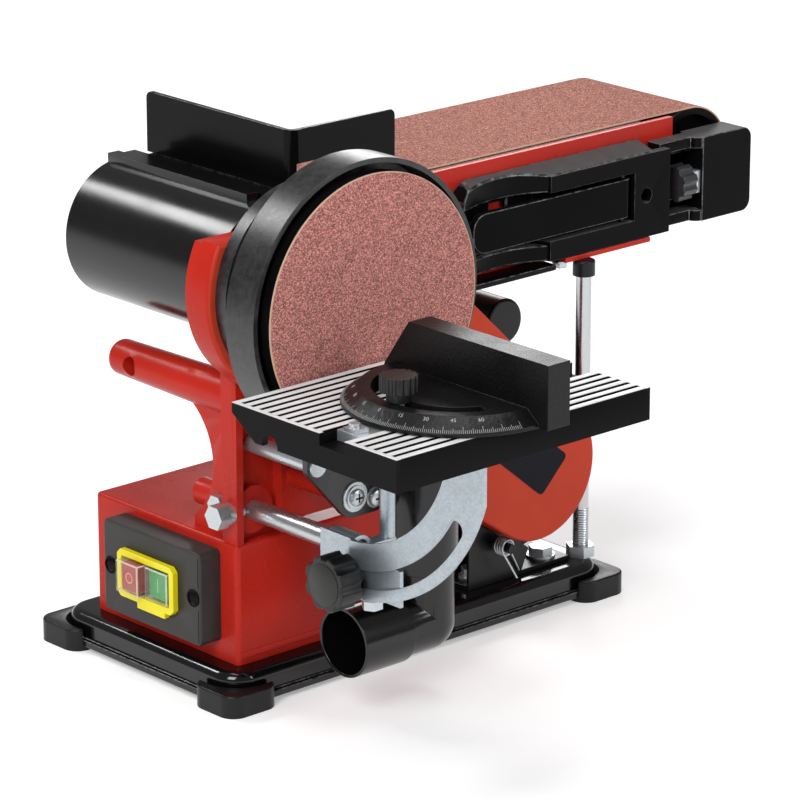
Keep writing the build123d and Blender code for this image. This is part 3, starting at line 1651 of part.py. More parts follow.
with BuildPart() as quadrant:
    with BuildSketch(flank(quadrant_x)):
        with Locations((hinge_y, hinge_z)):
            Circle(quadrant_out)
            Circle(quadrant_in, mode=Mode.SUBTRACT)
        with BuildLine():
            Polyline(
                (hinge_y, hinge_z),
                on_arc(2 * quadrant_out, tilt_slot_start),
                on_arc(2 * quadrant_out, quadrant_mid),
                on_arc(2 * quadrant_out, tilt_slot_end + quadrant_spread),
                close=True,
            )
        make_face(mode=Mode.INTERSECT)
        with Locations((quadrant_front, hinge_z)):
            Rectangle(
                quadrant_out, 2 * quadrant_out, align=(Align.MAX, Align.CENTER), mode=Mode.SUBTRACT
            )
        with Locations((quadrant_front, plate_under_z)):
            Rectangle(flange_rear - quadrant_front, quadrant_neck, align=(Align.MIN, Align.MAX))
        with Locations(on_arc(slot_r, tilt_slot_start)):
            Circle(quadrant_out - slot_r)
    extrude(amount=quadrant_thick)
    with BuildSketch(flank(quadrant_x)):
        with Locations((hinge_y, hinge_z)):
            Circle(slot_r + tilt_slot_half)
            Circle(slot_r - tilt_slot_half, mode=Mode.SUBTRACT)
        with BuildLine():
            Polyline(
                (hinge_y, hinge_z),
                on_arc(2 * slot_r, tilt_slot_start),
                on_arc(2 * slot_r, (tilt_slot_start + tilt_slot_end) / 2),
                on_arc(2 * slot_r, tilt_slot_end),
                close=True,
            )
        make_face(mode=Mode.INTERSECT)
        with Locations(on_arc(slot_r, tilt_slot_start), on_arc(slot_r, tilt_slot_end)):
            Circle(tilt_slot_half)
    extrude(amount=quadrant_thick, mode=Mode.SUBTRACT)
    with BuildSketch(level(plate_under_z - quadrant_thick)):
        with Locations((quadrant_x + quadrant_thick, quadrant_front)):
            Rectangle(
                quadrant_x + quadrant_thick - flange_left,
                flange_rear - quadrant_front,
                align=(Align.MAX, Align.MIN),
            )
    extrude(amount=quadrant_thick)
save(quadrant.part, "quadrant")

# Hinge pin and the quadrant's hex bolt
bolt_mid = ((flange_left + quadrant_x) / 2, (quadrant_front + flange_rear) / 2)
with BuildPart() as table_fixings:
    with BuildSketch(flank(ear_left - bite)):
        with Locations((hinge_y, hinge_z)):
            Circle(hinge_pin_r)
    extrude(amount=ear_right + ear_wall - ear_left + 2 * bite)
    with BuildSketch(level(plate_under_z - quadrant_thick)):
        with Locations(bolt_mid):
            RegularPolygon(flange_hex_r, 6)
    extrude(amount=-flange_hex)
save(table_fixings.part, "table_fixings")

# Table carriage: the reach shaft, and the bracket with its rod up to the hinge
tilt_at = on_arc(slot_r, tilt_rest)
strap_foot = table_shaft_z - crossbar_height / 2
with BuildPart() as table_shaft:
    with BuildSketch(upright(table_shaft_back)):
        with Locations((table_shaft_x, table_shaft_z)):
            Circle(table_shaft_r)
    extrude(amount=table_shaft_back - table_shaft_front)
    chamfer(table_shaft.faces().sort_by(Axis.Y)[0].edges(), end_chamfer)
save(table_shaft.part, "table_shaft")

with BuildPart() as table_bracket:
    with BuildSketch(flank(bracket_left)):
        with BuildLine():
            Polyline(
                (bracket_head, table_shaft_z + bracket_side),
                (bracket_step_at, table_shaft_z + bracket_side),
                (bracket_tip, tilt_at[1] + bracket_tip_over),
                (bracket_tip, tilt_at[1] - bracket_tip_under),
                (bracket_step_at, tilt_at[1] - bracket_tip_under),
                (bracket_head, table_shaft_z - bracket_side),
                close=True,
            )
        make_face()
    extrude(amount=bracket_sheet)
    with BuildSketch(level(tilt_at[1] - bracket_tip_under)):
        with Locations((bracket_left, foot_bolt_at)):
            Rectangle(foot_tab_width, foot_tab_length, align=(Align.MIN, Align.CENTER))
    extrude(amount=bracket_sheet)
    with BuildSketch(upright(sleeve_back)):
        with Locations((table_shaft_x, table_shaft_z)):
            Circle(sleeve_r)
    extrude(amount=sleeve_length)
    with BuildSketch(flank(bracket_left)):
        with Locations((hinge_y, strap_foot)):
            Rectangle(strap_width, crossbar_height, align=(Align.CENTER, Align.MIN))
    extrude(amount=strap_left + strap_thick - bracket_left)
    with BuildSketch(level(strap_foot)):
        with Locations((strap_left + strap_thick / 2, hinge_y)):
            Circle(strap_rod_r)
    extrude(amount=hinge_z - strap_eye - strap_foot)
    with BuildSketch(flank(strap_left)):
        with Locations((hinge_y, hinge_z)):
            Circle(strap_width / 2)
            Rectangle(strap_width, strap_eye + bite, align=(Align.CENTER, Align.MAX))
    extrude(amount=strap_thick)
    with BuildSketch(flank(strap_left)):
        with Locations((hinge_y, hinge_z)):
            Circle(hinge_pin_r + run_clear)
    extrude(amount=strap_thick, mode=Mode.SUBTRACT)
    with BuildSketch(upright(sleeve_back)):
        with Locations((table_shaft_x, table_shaft_z)):
            Circle(table_shaft_r + seat_clear)
    extrude(amount=sleeve_length, mode=Mode.SUBTRACT)
    with BuildSketch(flank(bracket_left)):
        with Locations(tilt_at):
            Circle(tilt_bolt_r + seat_clear)
    extrude(amount=bracket_sheet, mode=Mode.SUBTRACT)
save(table_bracket.part, "table_bracket")

knob_gap = slide_clear
knob_inner = quadrant_x - knob_gap
with BuildPart() as bracket_bolts:
    with BuildSketch(flank(bracket_left + bracket_sheet)):
        with Locations(tilt_at):
            Circle(tilt_bolt_r)
    extrude(amount=knob_inner - tilt_bolt_in - bracket_left - bracket_sheet)
    with BuildSketch(flank(bracket_left + bracket_sheet)):
        with Locations(tilt_at):
            RegularPolygon(tilt_nut_r, 6)
    extrude(amount=tilt_nut)
    with BuildSketch(level(tilt_at[1] - bracket_tip_under)):
        with Locations((bracket_left + foot_tab_width / 2 + bracket_sheet, foot_bolt_at)):
            Circle(foot_bolt_r)
    extrude(amount=-foot_bolt_drop)
    with BuildSketch(level(tilt_at[1] - bracket_tip_under - foot_bolt_drop)):
        with Locations((bracket_left + foot_tab_width / 2 + bracket_sheet, foot_bolt_at)):
            RegularPolygon(foot_hex_r, 6)
    extrude(amount=-foot_hex)
save(bracket_bolts.part, "bracket_bolts")

with BuildPart() as tilt_knob:
    with BuildSketch(flank(knob_inner)):
        with Locations(tilt_at):
            Circle(tilt_collar_r)
    extrude(amount=-tilt_collar)
    with BuildSketch(flank(knob_inner - tilt_collar)):
        with Locations(tilt_at):
            Circle(tilt_knob_r)
            with PolarLocations(tilt_knob_r + tilt_lobe_out, tilt_lobes):
                Circle(tilt_lobe_r, mode=Mode.SUBTRACT)
    extrude(amount=tilt_collar - tilt_knob_thick)
    fillet(tilt_knob.faces().sort_by(Axis.X)[0].edges(), end_chamfer)
    with BuildSketch(flank(knob_inner)):
        with Locations(tilt_at):
            Circle(tilt_bolt_r + run_clear)
    extrude(amount=-tilt_bolt_in - gap_clear, mode=Mode.SUBTRACT)
save(tilt_knob.part, "tilt_knob")

# Mitre gauge: slot bar with its studs, swivel head with fence, lock knob and pointer
mitre_floor = table_top_z + gap_clear
bar_top = table_top_z - gap_clear
bar_width = slot_width - 2 * bar_clear
knob_x = mitre_x - mitre_slot_r
protractor_top = mitre_floor + mitre_base
slot_end_x = 2 * mitre_r * cos(radians(mitre_swing + mitre_slot_spare))
slot_end_y = 2 * mitre_r * sin(radians(mitre_swing + mitre_slot_spare))
with BuildPart() as mitre_bar:
    with BuildSketch(level(bar_top - bar_thick)):
        with Locations((bar_left, slot_mid)):
            Rectangle(bar_right - bar_left, bar_width, align=(Align.MIN, Align.CENTER))
    extrude(amount=bar_thick)
    with BuildSketch(level(bar_top)):
        with Locations((mitre_x, slot_mid)):
            Circle(pivot_r)
    extrude(amount=mitre_base - pivot_roof)
    with BuildSketch(level(bar_top)):
        with Locations((knob_x, slot_mid)):
            Circle(stud_radius)
    extrude(amount=mitre_base + mitre_knob_height - mitre_roof - bite)
save(mitre_bar.part, "mitre_bar")

with BuildPart() as mitre_head:
    with BuildSketch(level(mitre_floor)):
        with Locations((mitre_x, slot_mid)):
            Circle(mitre_r)
            Rectangle(mitre_r, 2 * mitre_r, align=(Align.MIN, Align.CENTER), mode=Mode.SUBTRACT)
    extrude(amount=mitre_base)
    chamfer(
        mitre_head.faces().sort_by(Axis.Z)[-1].edges().filter_by(GeomType.CIRCLE),
        length=mitre_bevel,
        length2=mitre_bevel + mitre_bevel_run,
    )
    with BuildSketch(flank(mitre_x)):
        with BuildLine():
            Polyline(
                (fence_front, mitre_floor),
                (fence_back, mitre_floor),
                (fence_back - fence_heel, mitre_floor + mitre_base),
                (fence_back - fence_slope, mitre_floor + fence_height),
                (fence_front, mitre_floor + fence_height),
                close=True,
            )
        make_face()
    extrude(amount=fence_thick)
    with BuildSketch(level(mitre_floor)):
        with Locations((mitre_x, slot_mid)):
            Circle(mitre_slot_r + mitre_slot_width / 2)
            Circle(mitre_slot_r - mitre_slot_width / 2, mode=Mode.SUBTRACT)
        with BuildLine():
            Polyline(
                (mitre_x, slot_mid),
                (mitre_x - slot_end_x, slot_mid + slot_end_y),
                (mitre_x - 4 * mitre_r, slot_mid),
                (mitre_x - slot_end_x, slot_mid - slot_end_y),
                close=True,
            )
        make_face(mode=Mode.INTERSECT)
    extrude(amount=mitre_base, mode=Mode.SUBTRACT)
    with BuildSketch(level(mitre_floor)):
        with Locations((mitre_x, slot_mid)):
            Circle(pivot_r + run_clear)
    extrude(amount=mitre_base - pivot_roof, mode=Mode.SUBTRACT)
save(mitre_head.part, "mitre_head")

with BuildPart() as mitre_knob:
    with BuildSketch(level(protractor_top + slide_clear)):
        with Locations((knob_x, slot_mid)):
            Circle(mitre_neck_r)
    extrude(amount=mitre_neck)
    with BuildSketch(level(protractor_top + slide_clear + mitre_neck)):
        with Locations((knob_x, slot_mid)):
            Circle(mitre_knob_r)
            with PolarLocations(mitre_knob_r + mitre_flute_out, mitre_flutes):
                Circle(mitre_flute_r, mode=Mode.SUBTRACT)
    extrude(amount=mitre_knob_height - mitre_neck)
    with BuildSketch(level(protractor_top + slide_clear)):
        with Locations((knob_x, slot_mid)):
            Circle(stud_radius + run_clear)
    extrude(amount=mitre_knob_height - mitre_roof, mode=Mode.SUBTRACT)
save(mitre_knob.part, "mitre_knob")

with BuildPart() as mitre_pointer:
    with BuildSketch(level(bar_top)):
        with Locations((bar_left + pointer_in, slot_mid)):
            Rectangle(*pointer_size)
    extrude(amount=pointer_thick)
    with BuildSketch(level(bar_top + pointer_thick)):
        with Locations((bar_left + pointer_screw_in, slot_mid)):
            Circle(pointer_screw_r)
    extrude(amount=pointer_screw)
save(mitre_pointer.part, "mitre_pointer")
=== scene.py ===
"""Looks of a bench belt and disc sander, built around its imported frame."""

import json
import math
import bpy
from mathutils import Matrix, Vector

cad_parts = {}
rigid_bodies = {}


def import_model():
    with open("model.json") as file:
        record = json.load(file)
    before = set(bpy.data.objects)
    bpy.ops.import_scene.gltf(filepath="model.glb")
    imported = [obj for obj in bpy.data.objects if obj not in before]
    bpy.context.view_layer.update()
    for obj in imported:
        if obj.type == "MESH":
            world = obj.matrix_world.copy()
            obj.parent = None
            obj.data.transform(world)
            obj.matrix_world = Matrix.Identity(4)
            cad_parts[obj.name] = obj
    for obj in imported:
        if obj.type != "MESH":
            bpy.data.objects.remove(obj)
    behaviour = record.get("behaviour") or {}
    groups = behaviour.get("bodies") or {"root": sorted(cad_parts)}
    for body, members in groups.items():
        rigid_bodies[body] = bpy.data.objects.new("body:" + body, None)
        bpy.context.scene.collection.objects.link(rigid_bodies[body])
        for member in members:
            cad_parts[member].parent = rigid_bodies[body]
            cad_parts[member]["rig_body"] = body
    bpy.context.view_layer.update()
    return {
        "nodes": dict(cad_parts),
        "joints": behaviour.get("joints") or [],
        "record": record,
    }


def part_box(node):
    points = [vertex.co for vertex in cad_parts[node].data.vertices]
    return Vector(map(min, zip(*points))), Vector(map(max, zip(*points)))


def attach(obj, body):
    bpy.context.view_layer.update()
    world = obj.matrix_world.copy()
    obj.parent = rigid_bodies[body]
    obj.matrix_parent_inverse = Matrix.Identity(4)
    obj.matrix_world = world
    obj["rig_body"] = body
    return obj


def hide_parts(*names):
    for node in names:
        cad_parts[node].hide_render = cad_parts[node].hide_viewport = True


bl_info = {
    "name": "Belt and disc sander",
    "version": (1, 0, 0),
    "blender": (4, 5, 0),
    "location": "View3D > Sidebar > Sander",
    "description": "Dresses the packed sander with its finishes, fittings and a plain studio",
    "category": "Object",
}

import bmesh
import bpy
from bpy.props import FloatProperty, FloatVectorProperty, PointerProperty
from mathutils import Matrix, Vector

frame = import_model()
MM = 0.001
X_AXIS = Vector((1, 0, 0))
Y_AXIS = Vector((0, 1, 0))
Z_AXIS = Vector((0, 0, 1))


def joint_place(name):
    """Where a joint of the frame stands, in metres."""
    for joint in frame["joints"]:
        if joint["name"] == name:
            return Vector(joint["pos_m"])
    raise ValueError("no joint named " + name)


ARBOR = joint_place("disc_spin")


def spot(x, y, z):
    """A place given in millimetres right of the arbor, behind the disc's face and above the arbor."""
    return ARBOR + Vector((x, y, z)) * MM


def body_of(node):
    """The body that a node of the frame belongs to."""
    return frame["nodes"][node]["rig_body"]


def slot_of(node):
    """The record's material slot of a node."""
    for part in frame["record"]["subparts"]:
        if part["node"] == node:
            return part["material_slot"]
    raise ValueError("no sub-part named " + node)


# Sizes and colours that a user would change


def length(name, description, default):
    return FloatProperty(name=name, description=description, default=default, unit="LENGTH", precision=5)


def paint(name, description, default):
    return FloatVectorProperty(
        name=name,
        description=description,
        default=default,
        subtype="COLOR_GAMMA",
        size=3,
        min=0.0,
        max=1.0,
    )


class SanderSizes(bpy.types.PropertyGroup):
    """Sizes of the dressing."""

    moulded_edge: length("Moulded edge", "Rounding of moulded edges", 1.1 * MM)
    sheet_edge: length("Sheet edge", "Rounding of sheet metal edges", 0.5 * MM)
    machined_edge: length("Machined edge", "Rounding of bolts and machined edges", 0.35 * MM)
    table_edge: length("Table edge", "Rounding of the table and its ridges", 0.25 * MM)
    boot_edge: length("Boot edge", "Rounding of the clear boots", 0.8 * MM)
    boot_wall: length("Boot wall", "Wall of the clear boots over the buttons", 0.5 * MM)
    thread_pitch: length("Thread pitch", "Pitch of the support rod's thread", 1.5 * MM)
    lens: FloatProperty(name="Lens", description="Camera's focal length", default=195.1, unit="CAMERA")


class SanderFinishes(bpy.types.PropertyGroup):
    """Colours of the finishes, as they look on a screen."""

    red: paint("Red paint", "Column, box and arm frame", (0.71, 0.15, 0.105))
    # Lighter red of rubbed edges: wear, and a painted highlight along the edges
    worn_red: paint("Worn red", "Rubbed edges of red pieces", (0.84, 0.34, 0.27))
    orange: paint("Drive cover", "Drive cover's lighter red", (0.78, 0.26, 0.17))
    panel: paint("Panel", "Dark plate on the drive cover", (0.04, 0.045, 0.09))
    black: paint("Black", "Gloss black of the base", (0.04, 0.04, 0.045))
    # Lighter grey of rubbed edges: wear, and a painted highlight along the edges
    worn_black: paint("Worn black", "Rubbed edges of black pieces", (0.44, 0.44, 0.45))
    plastic: paint("Plastic", "Black moulded plastic", (0.045, 0.045, 0.05))
    guard: paint("Guard", "Moulded guard of the disc", (0.085, 0.085, 0.09))
    knob: paint("Knob", "Grey tracking knob", (0.20, 0.20, 0.21))
    knob_face: paint("Knob face", "Face of the table's lock knob", (0.16, 0.16, 0.15))
    sheet: paint("Sheet", "Satin black sheet metal", (0.04, 0.04, 0.045))
    switch: paint("Switch plate", "Dark grey of the switch plate", (0.20, 0.195, 0.19))
    rubber: paint("Rubber", "Feet and rod cap", (0.06, 0.06, 0.065))
    belt: paint("Belt grit", "Sanding belt", (0.62, 0.40, 0.35))
    disc: paint("Disc grit", "Sanding disc", (0.68, 0.45, 0.42))
    cloth: paint("Backing", "Cut edges of the abrasives' backing", (0.80, 0.66, 0.56))
    zinc: paint("Zinc", "Zinc-plated bolts and bars", (0.76, 0.785, 0.80))
    zinc_sheet: paint("Zinc sheet", "Table's quadrant and bracket", (0.69, 0.725, 0.75))
    steel: paint("Steel", "Ground steel", (0.74, 0.75, 0.76))
    alloy: paint("Alloy", "Bright aluminium", (0.93, 0.93, 0.93))
    marks: paint("Marks", "Graduations of the mitre gauge", (0.62, 0.62, 0.62))
    yellow: paint("Yellow", "Switch frame", (0.93, 0.86, 0.07))
    green: paint("Green", "Start button", (0.10, 0.56, 0.24))
    # Also the colour of the start button's rounded edges, as a painted highlight
    start_mark: paint("Start mark", "Bar and edges of the start button", (0.45, 0.78, 0.52))
    stop: paint("Stop", "Stop button", (0.62, 0.20, 0.15))
    # Also the colour of the stop button's rounded edges, as a painted highlight
    stop_mark: paint("Stop mark", "Ring and edges of the stop button", (0.93, 0.62, 0.55))


def linear(colour):
    """A screen colour as the linear colour that a shader takes."""
    return tuple(c / 12.92 if c <= 0.04045 else ((c + 0.055) / 1.055) ** 2.4 for c in colour) + (1.0,)


def shade(colour, factor):
    """A linear colour made lighter or darker."""
    return tuple(min(1.0, c * factor) for c in colour[:3]) + (1.0,)


# Shader maths


class Value:
    """A shader socket in a sum: each operator adds one Math node."""

    def __init__(self, graph, socket):
        self.graph = graph
        self.socket = socket

    def math(self, operation, *others):
        terms = dict(enumerate((self,) + others))
        return self.graph.node("ShaderNodeMath", {"operation": operation}, terms)

    def __add__(self, other):
        return self.math("ADD", other)

    __radd__ = __add__

    def __mul__(self, other):
        return self.math("MULTIPLY", other)

    __rmul__ = __mul__

    def __sub__(self, other):
        return self.math("SUBTRACT", other)

    def __rsub__(self, other):
        return self.graph.node("ShaderNodeMath", {"operation": "SUBTRACT"}, {0: other, 1: self})


class Graph:
    """The node tree of a new material, with one Principled shader."""

    def __init__(self, name):
        self.material = bpy.data.materials.new(name)
        self.material.use_nodes = True
        self.tree = self.material.node_tree
        self.tree.nodes.clear()
        output = self.tree.nodes.new("ShaderNodeOutputMaterial")
        self.shader = self.tree.nodes.new("ShaderNodeBsdfPrincipled")
        self.tree.links.new(self.shader.outputs[0], output.inputs[0])
        self.place = self.node("ShaderNodeTexCoord", out="Object")

    def fill(self, node, values):
        for key, value in values.items():
            socket = node.inputs[key]
            if isinstance(value, Value):
                self.tree.links.new(value.socket, socket)
            else:
                socket.default_value = value

    def node(self, kind, settings=None, values=None, out=0):
        node = self.tree.nodes.new(kind)
        for key, value in (settings or {}).items():
            if key == "stops":
                ramp = node.color_ramp
                while len(ramp.elements) < len(value):
                    ramp.elements.new(1.0)
                for element, (position, colour) in zip(ramp.elements, value):
                    element.position = position
                    element.color = colour
            else:
                setattr(node, key, value)
        self.fill(node, values or {})
        return Value(self, node.outputs[out])

    def surface(self, **values):
        self.fill(self.shader, {key.replace("_", " "): value for key, value in values.items()})
        return self.material

    def noise(self, scale, detail=2.0, rough=0.5, where=None):
        values = {"Vector": where or self.place, "Scale": scale, "Detail": detail, "Roughness": rough}
        return self.node("ShaderNodeTexNoise", None, values)

    def grains(self, scale):
        values = {"Vector": self.place, "Scale": scale}
        cells = self.node("ShaderNodeTexVoronoi", None, values, out="Color")
        return self.node("ShaderNodeSeparateColor", None, {0: cells})

    def stretched(self, x, y, z):
        values = {"Vector": self.place, "Scale": (x, y, z)}
        return self.node("ShaderNodeMapping", {"vector_type": "POINT"}, values)

    def ramp(self, value, *stops):
        return self.node("ShaderNodeValToRGB", {"stops": stops}, {0: value})

    def grey(self, value, low, high, to_low=0.0, to_high=1.0):
        values = {"Value": value, 1: low, 2: high, 3: to_low, 4: to_high}
        return self.node("ShaderNodeMapRange", {"clamp": True}, values)

    def mix(self, factor, first, second):
        values = {0: factor, 6: first, 7: second}
        return self.node("ShaderNodeMix", {"data_type": "RGBA"}, values, out=2)

    def blend(self, factor, first, second):
        values = {0: factor, 2: first, 3: second}
        return self.node("ShaderNodeMix", {"data_type": "FLOAT"}, values)

    def bump(self, height, strength, distance):
        values = {"Height": height, "Strength": strength, "Distance": distance}
        return self.node("ShaderNodeBump", None, values)

    def part(self, axis):
        return self.node("ShaderNodeSeparateXYZ", None, {0: self.place}, out=axis)


# How fine the patterns are, in waves to the metre

PAINT_CLOUDS, PAINT_SPECKS, PAINT_PEEL = 18.0, 1300.0, 420.0
RUBBED_PATCHES, RUBBED_GRAIN = 140.0, 900.0
PLASTIC_CLOUDS, PLASTIC_GRAIN = 30.0, 2600.0
BLOOM_AND_SHEEN_PATCHES, DUST_AND_SHEEN_PATCHES = 170.0, 60.0
CAST_CLOUDS, CAST_DENTS = 40.0, 520.0
GRIT_CLOUDS, GRIT_GRAINS, GRIT_POWDER = 14.0, 1700.0, 2600.0
METAL_LINES, METAL_GRAINS, METAL_MOTTLE = 1500.0, 900.0, 220.0
TABLE_LINES, TABLE_GRAIN, TABLE_WEAR = 1800.0, 900.0, 70.0
BOOT_HAZE = 120.0

# Ranges, depths and colours of the patterns. MIDDLE is where most of a noise lies

MIDDLE = (0.3, 0.7)
FINE = 0.4 * MM
BLOOM_AND_SHEEN_GREY = (0.34, 0.34, 0.35)
DUST_AND_SHEEN_GREY = (0.36, 0.35, 0.35)
DUST_AND_SHEEN_SLOPE = (0.8, 0.95)
BOOT_TINT = (0.85, 0.82, 0.76, 1.0)

# Where a finish changes on its piece

COVER_RIM = (0.2 * MM, 1.3 * MM)
BELT_CUT = (0.5 * MM, 0.2 * MM)
DISC_CUT = (0.7 * MM, 0.3 * MM)
RIDGE_HEIGHT = 1.5 * MM
RIDGE_SHARE, RIDGE_SKIN = 0.8, 0.03 * MM


def paint_finish(name, colour, roughness, specular, peel):
    """Sprayed paint: slight orange peel, faint cloudiness and fine specks in the gloss."""
    g = Graph(name)
    base = linear(colour)
    cloud = g.noise(PAINT_CLOUDS, 3.0)
    specks = g.grey(g.noise(PAINT_SPECKS, 1.0), 0.66, 0.74)
    tone = g.mix(g.grey(cloud, *MIDDLE), shade(base, 0.9), shade(base, 1.08))
    return g.surface(
        Base_Color=g.mix(specks * 0.25, tone, shade(base, 1.5)),
        Roughness=g.grey(cloud, *MIDDLE, roughness - 0.03, roughness + 0.04) + specks * 0.05,
        Specular_IOR_Level=specular,
        Normal=g.bump(g.noise(PAINT_PEEL, 1.0), peel, MM),
    )


def cover_finish(name, colour, rim_colour):
    """The drive cover: a face in a lighter orange, partly its own paint and partly painted light on the
    face, and a rim in the column's paint.
    """
    g = Graph(name)
    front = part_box("drive_cover")[0].y
    start, end = COVER_RIM
    rim = g.grey(g.part("Y"), front + start, front + end)
    cloud = g.grey(g.noise(PAINT_CLOUDS, 3.0), *MIDDLE)
    # The face is lighter than the rim, partly as painted light falling on the face
    face = g.mix(cloud, shade(linear(colour), 0.92), shade(linear(colour), 1.06))
    return g.surface(
        Base_Color=g.mix(rim, face, linear(rim_colour)),
        Roughness=g.blend(rim, g.grey(cloud, 0.0, 1.0, 0.42, 0.5), 0.28),
        Specular_IOR_Level=0.12,
        Normal=g.bump(g.noise(PAINT_PEEL, 1.0), 0.03, MM),
    )


def rubbed_finish(name, colour, bare_and_highlit, roughness, amount):
    """An edge where a finish is rubbed thin, in patches, and made lighter as a painted highlight along the
    edge.
    """
    g = Graph(name)
    patch = g.grey(g.noise(RUBBED_PATCHES, 5.0, 0.7), 0.4, 0.62)
    return g.surface(
        Base_Color=g.mix(patch * amount, linear(colour), linear(bare_and_highlit)),
        Roughness=g.grey(patch, 0.0, 1.0, roughness, roughness + 0.12),
        Normal=g.bump(g.noise(RUBBED_GRAIN, 2.0), 0.05, FINE),
    )


def plastic_finish(name, colour, roughness, grain, specular, bloom_and_sheen=0.0, dust_and_sheen=0.0):
    """Moulded plastic with a fine grain. bloom is a grey film in patches that also serves as a painted
    sheen, and top faces are made lighter, as powder from sanding lying on them and as painted light from
    above.
    """
    g = Graph(name)
    base = linear(colour)
    fine = g.noise(PLASTIC_GRAIN, 1.0)
    cloud = g.noise(PLASTIC_CLOUDS, 2.0)
    tone = g.mix(cloud, shade(base, 0.8), shade(base, 1.25))
    matt = g.grey(fine, *MIDDLE, roughness - 0.05, roughness + 0.06)
    # Grey film in patches, partly real scuffing and partly a painted sheen
    if bloom_and_sheen:
        patch = g.grey(g.noise(BLOOM_AND_SHEEN_PATCHES, 6.0, 0.72), 0.42, 0.75) * bloom_and_sheen
        tone = g.mix(patch, tone, linear(BLOOM_AND_SHEEN_GREY))
        matt = matt + patch * 0.2
    # Upward faces lighter: powder from sanding lying on them, and painted light from above
    if dust_and_sheen:
        facing = g.node("ShaderNodeTexCoord", out="Normal")
        up = g.grey(g.node("ShaderNodeSeparateXYZ", None, {0: facing}, out="Z"), *DUST_AND_SHEEN_SLOPE)
        settled_and_lit = up * g.grey(g.noise(DUST_AND_SHEEN_PATCHES, 4.0, 0.6), 0.25, 0.7, 0.7, 1.0) * dust_and_sheen
        tone = g.mix(settled_and_lit, tone, linear(DUST_AND_SHEEN_GREY))
        matt = matt + settled_and_lit * 0.15
    return g.surface(
        Base_Color=tone,
        Roughness=matt,
        Specular_IOR_Level=specular,
        Normal=g.bump(fine, grain, FINE),
    )


def cast_finish(name, colour, specular=0.25):
    """Black painted casting with a hammered surface."""
    g = Graph(name)
    base = linear(colour)
    dents = g.noise(CAST_DENTS, 2.0, 0.55)
    cloud = g.noise(CAST_CLOUDS, 3.0)
    return g.surface(
        Base_Color=g.mix(g.grey(cloud, *MIDDLE), shade(base, 0.85), shade(base, 1.3)),
        Roughness=g.grey(cloud, *MIDDLE, 0.34, 0.42),
        Specular_IOR_Level=specular,
        Normal=g.bump(dents, 0.22, 0.8 * MM),
    )


def grit_finish(name, colour, edge_colour, edge):
    """Abrasive grains on a backing whose cut edge is bare cloth. edge marks that edge on the graph."""
    g = Graph(name)
    base = linear(colour)
    speck = g.grains(GRIT_GRAINS) * 0.85 + g.noise(GRIT_POWDER, 2.0, 0.7) * 0.3
    speck = g.grey(speck, 0.1, 1.05)
    cloud = g.noise(GRIT_CLOUDS, 3.0)
    tone = g.ramp(
        speck,
        (0.0, shade(base, 0.28)),
        (0.4, shade(base, 0.8)),
        (0.7, shade(base, 1.35)),
        (1.0, shade(base, 2.3)),
    )
    tone = g.mix(g.grey(cloud, *MIDDLE) * 0.16, tone, shade(base, 0.7))
    return g.surface(
        Base_Color=g.mix(edge(g), tone, linear(edge_colour)),
        Roughness=g.grey(speck, 0.2, 0.9, 0.92, 0.62),
        Specular_IOR_Level=0.25,
        Normal=g.bump(speck, 0.45, 0.5 * MM),
    )


def belt_edge(g):
    """The two cut sides of the belt."""
    low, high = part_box("sanding_belt")
    inner, outer = BELT_CUT
    y = g.part("Y")
    return g.grey(y, low.y + inner, low.y + outer) + g.grey(y, high.y - inner, high.y - outer)


def disc_edge(g):
    """The cut rim of the disc."""
    low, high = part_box("sanding_disc")
    radius = (high.x - low.x) / 2
    inner, outer = DISC_CUT
    across = g.part("X") - ARBOR.x
    up = g.part("Z") - ARBOR.z
    reach = (across * across + up * up).math("SQRT")
    return g.grey(reach, radius - inner, radius - outer)


def metal_finish(name, colour, roughness, streak=(1.0, 1.0, 1.0), spangle=0.0, metallic=1.0):
    """Bare or plated metal: fine streaks along one way, and the mottle of plating."""
    g = Graph(name)
    base = linear(colour)
    lines = g.noise(METAL_LINES, 2.0, 0.6, g.stretched(*streak))
    mottle = g.grains(METAL_GRAINS) * 0.35 + g.noise(METAL_MOTTLE, 4.0, 0.65) * 0.65
    dull = g.grey(mottle, 0.35, 0.7) * spangle
    return g.surface(
        Base_Color=g.mix(dull, base, shade(base, 0.62)),
        Metallic=metallic,
        Roughness=g.grey(lines, 0.25, 0.75, roughness - 0.06, roughness + 0.08) + dull * 0.12,
        Normal=g.bump(lines, 0.06, FINE),
    )


def table_finish(name, colour, paint_colour):
    """Black painted casting whose ridge tops are milled bright."""
    g = Graph(name)
    ridge_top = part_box("table_top")[1].z
    plate_top = ridge_top - RIDGE_HEIGHT
    start = plate_top + RIDGE_SHARE * (ridge_top - plate_top)
    bright = g.grey(g.part("Z"), start, ridge_top - RIDGE_SKIN)
    lines = g.noise(TABLE_LINES, 2.0, 0.6, g.stretched(0.05, 1.0, 1.0))
    fine = g.noise(TABLE_GRAIN, 2.0)
    worn = g.grey(g.noise(TABLE_WEAR, 4.0, 0.7), 0.35, 0.75, 0.78, 1.0)
    metal = g.mix(worn, shade(linear(colour), 0.6), linear(colour))
    painted_matt = g.grey(fine, *MIDDLE, 0.3, 0.42)
    milled_matt = g.grey(lines, 0.2, 0.8, 0.36, 0.5)
    return g.surface(
        Base_Color=g.mix(bright, linear(paint_colour), metal),
        Metallic=bright * 0.3,
        Roughness=g.blend(bright, painted_matt, milled_matt),
        Specular_IOR_Level=0.07,
        Normal=g.bump(lines * bright + fine * (1 - bright), 0.08, FINE),
    )


def clear_finish(name, clearest, cloudiest):
    """Thin clear moulding, cloudy where it is handled."""
    g = Graph(name)
    haze = g.noise(BOOT_HAZE, 3.0)
    return g.surface(
        Base_Color=BOOT_TINT,
        Roughness=g.grey(haze, *MIDDLE, 0.08, 0.16),
        Alpha=g.grey(haze, *MIDDLE, clearest, cloudiest),
        Specular_IOR_Level=0.5,
    )


# Each finish by its name, made from that name and the colours

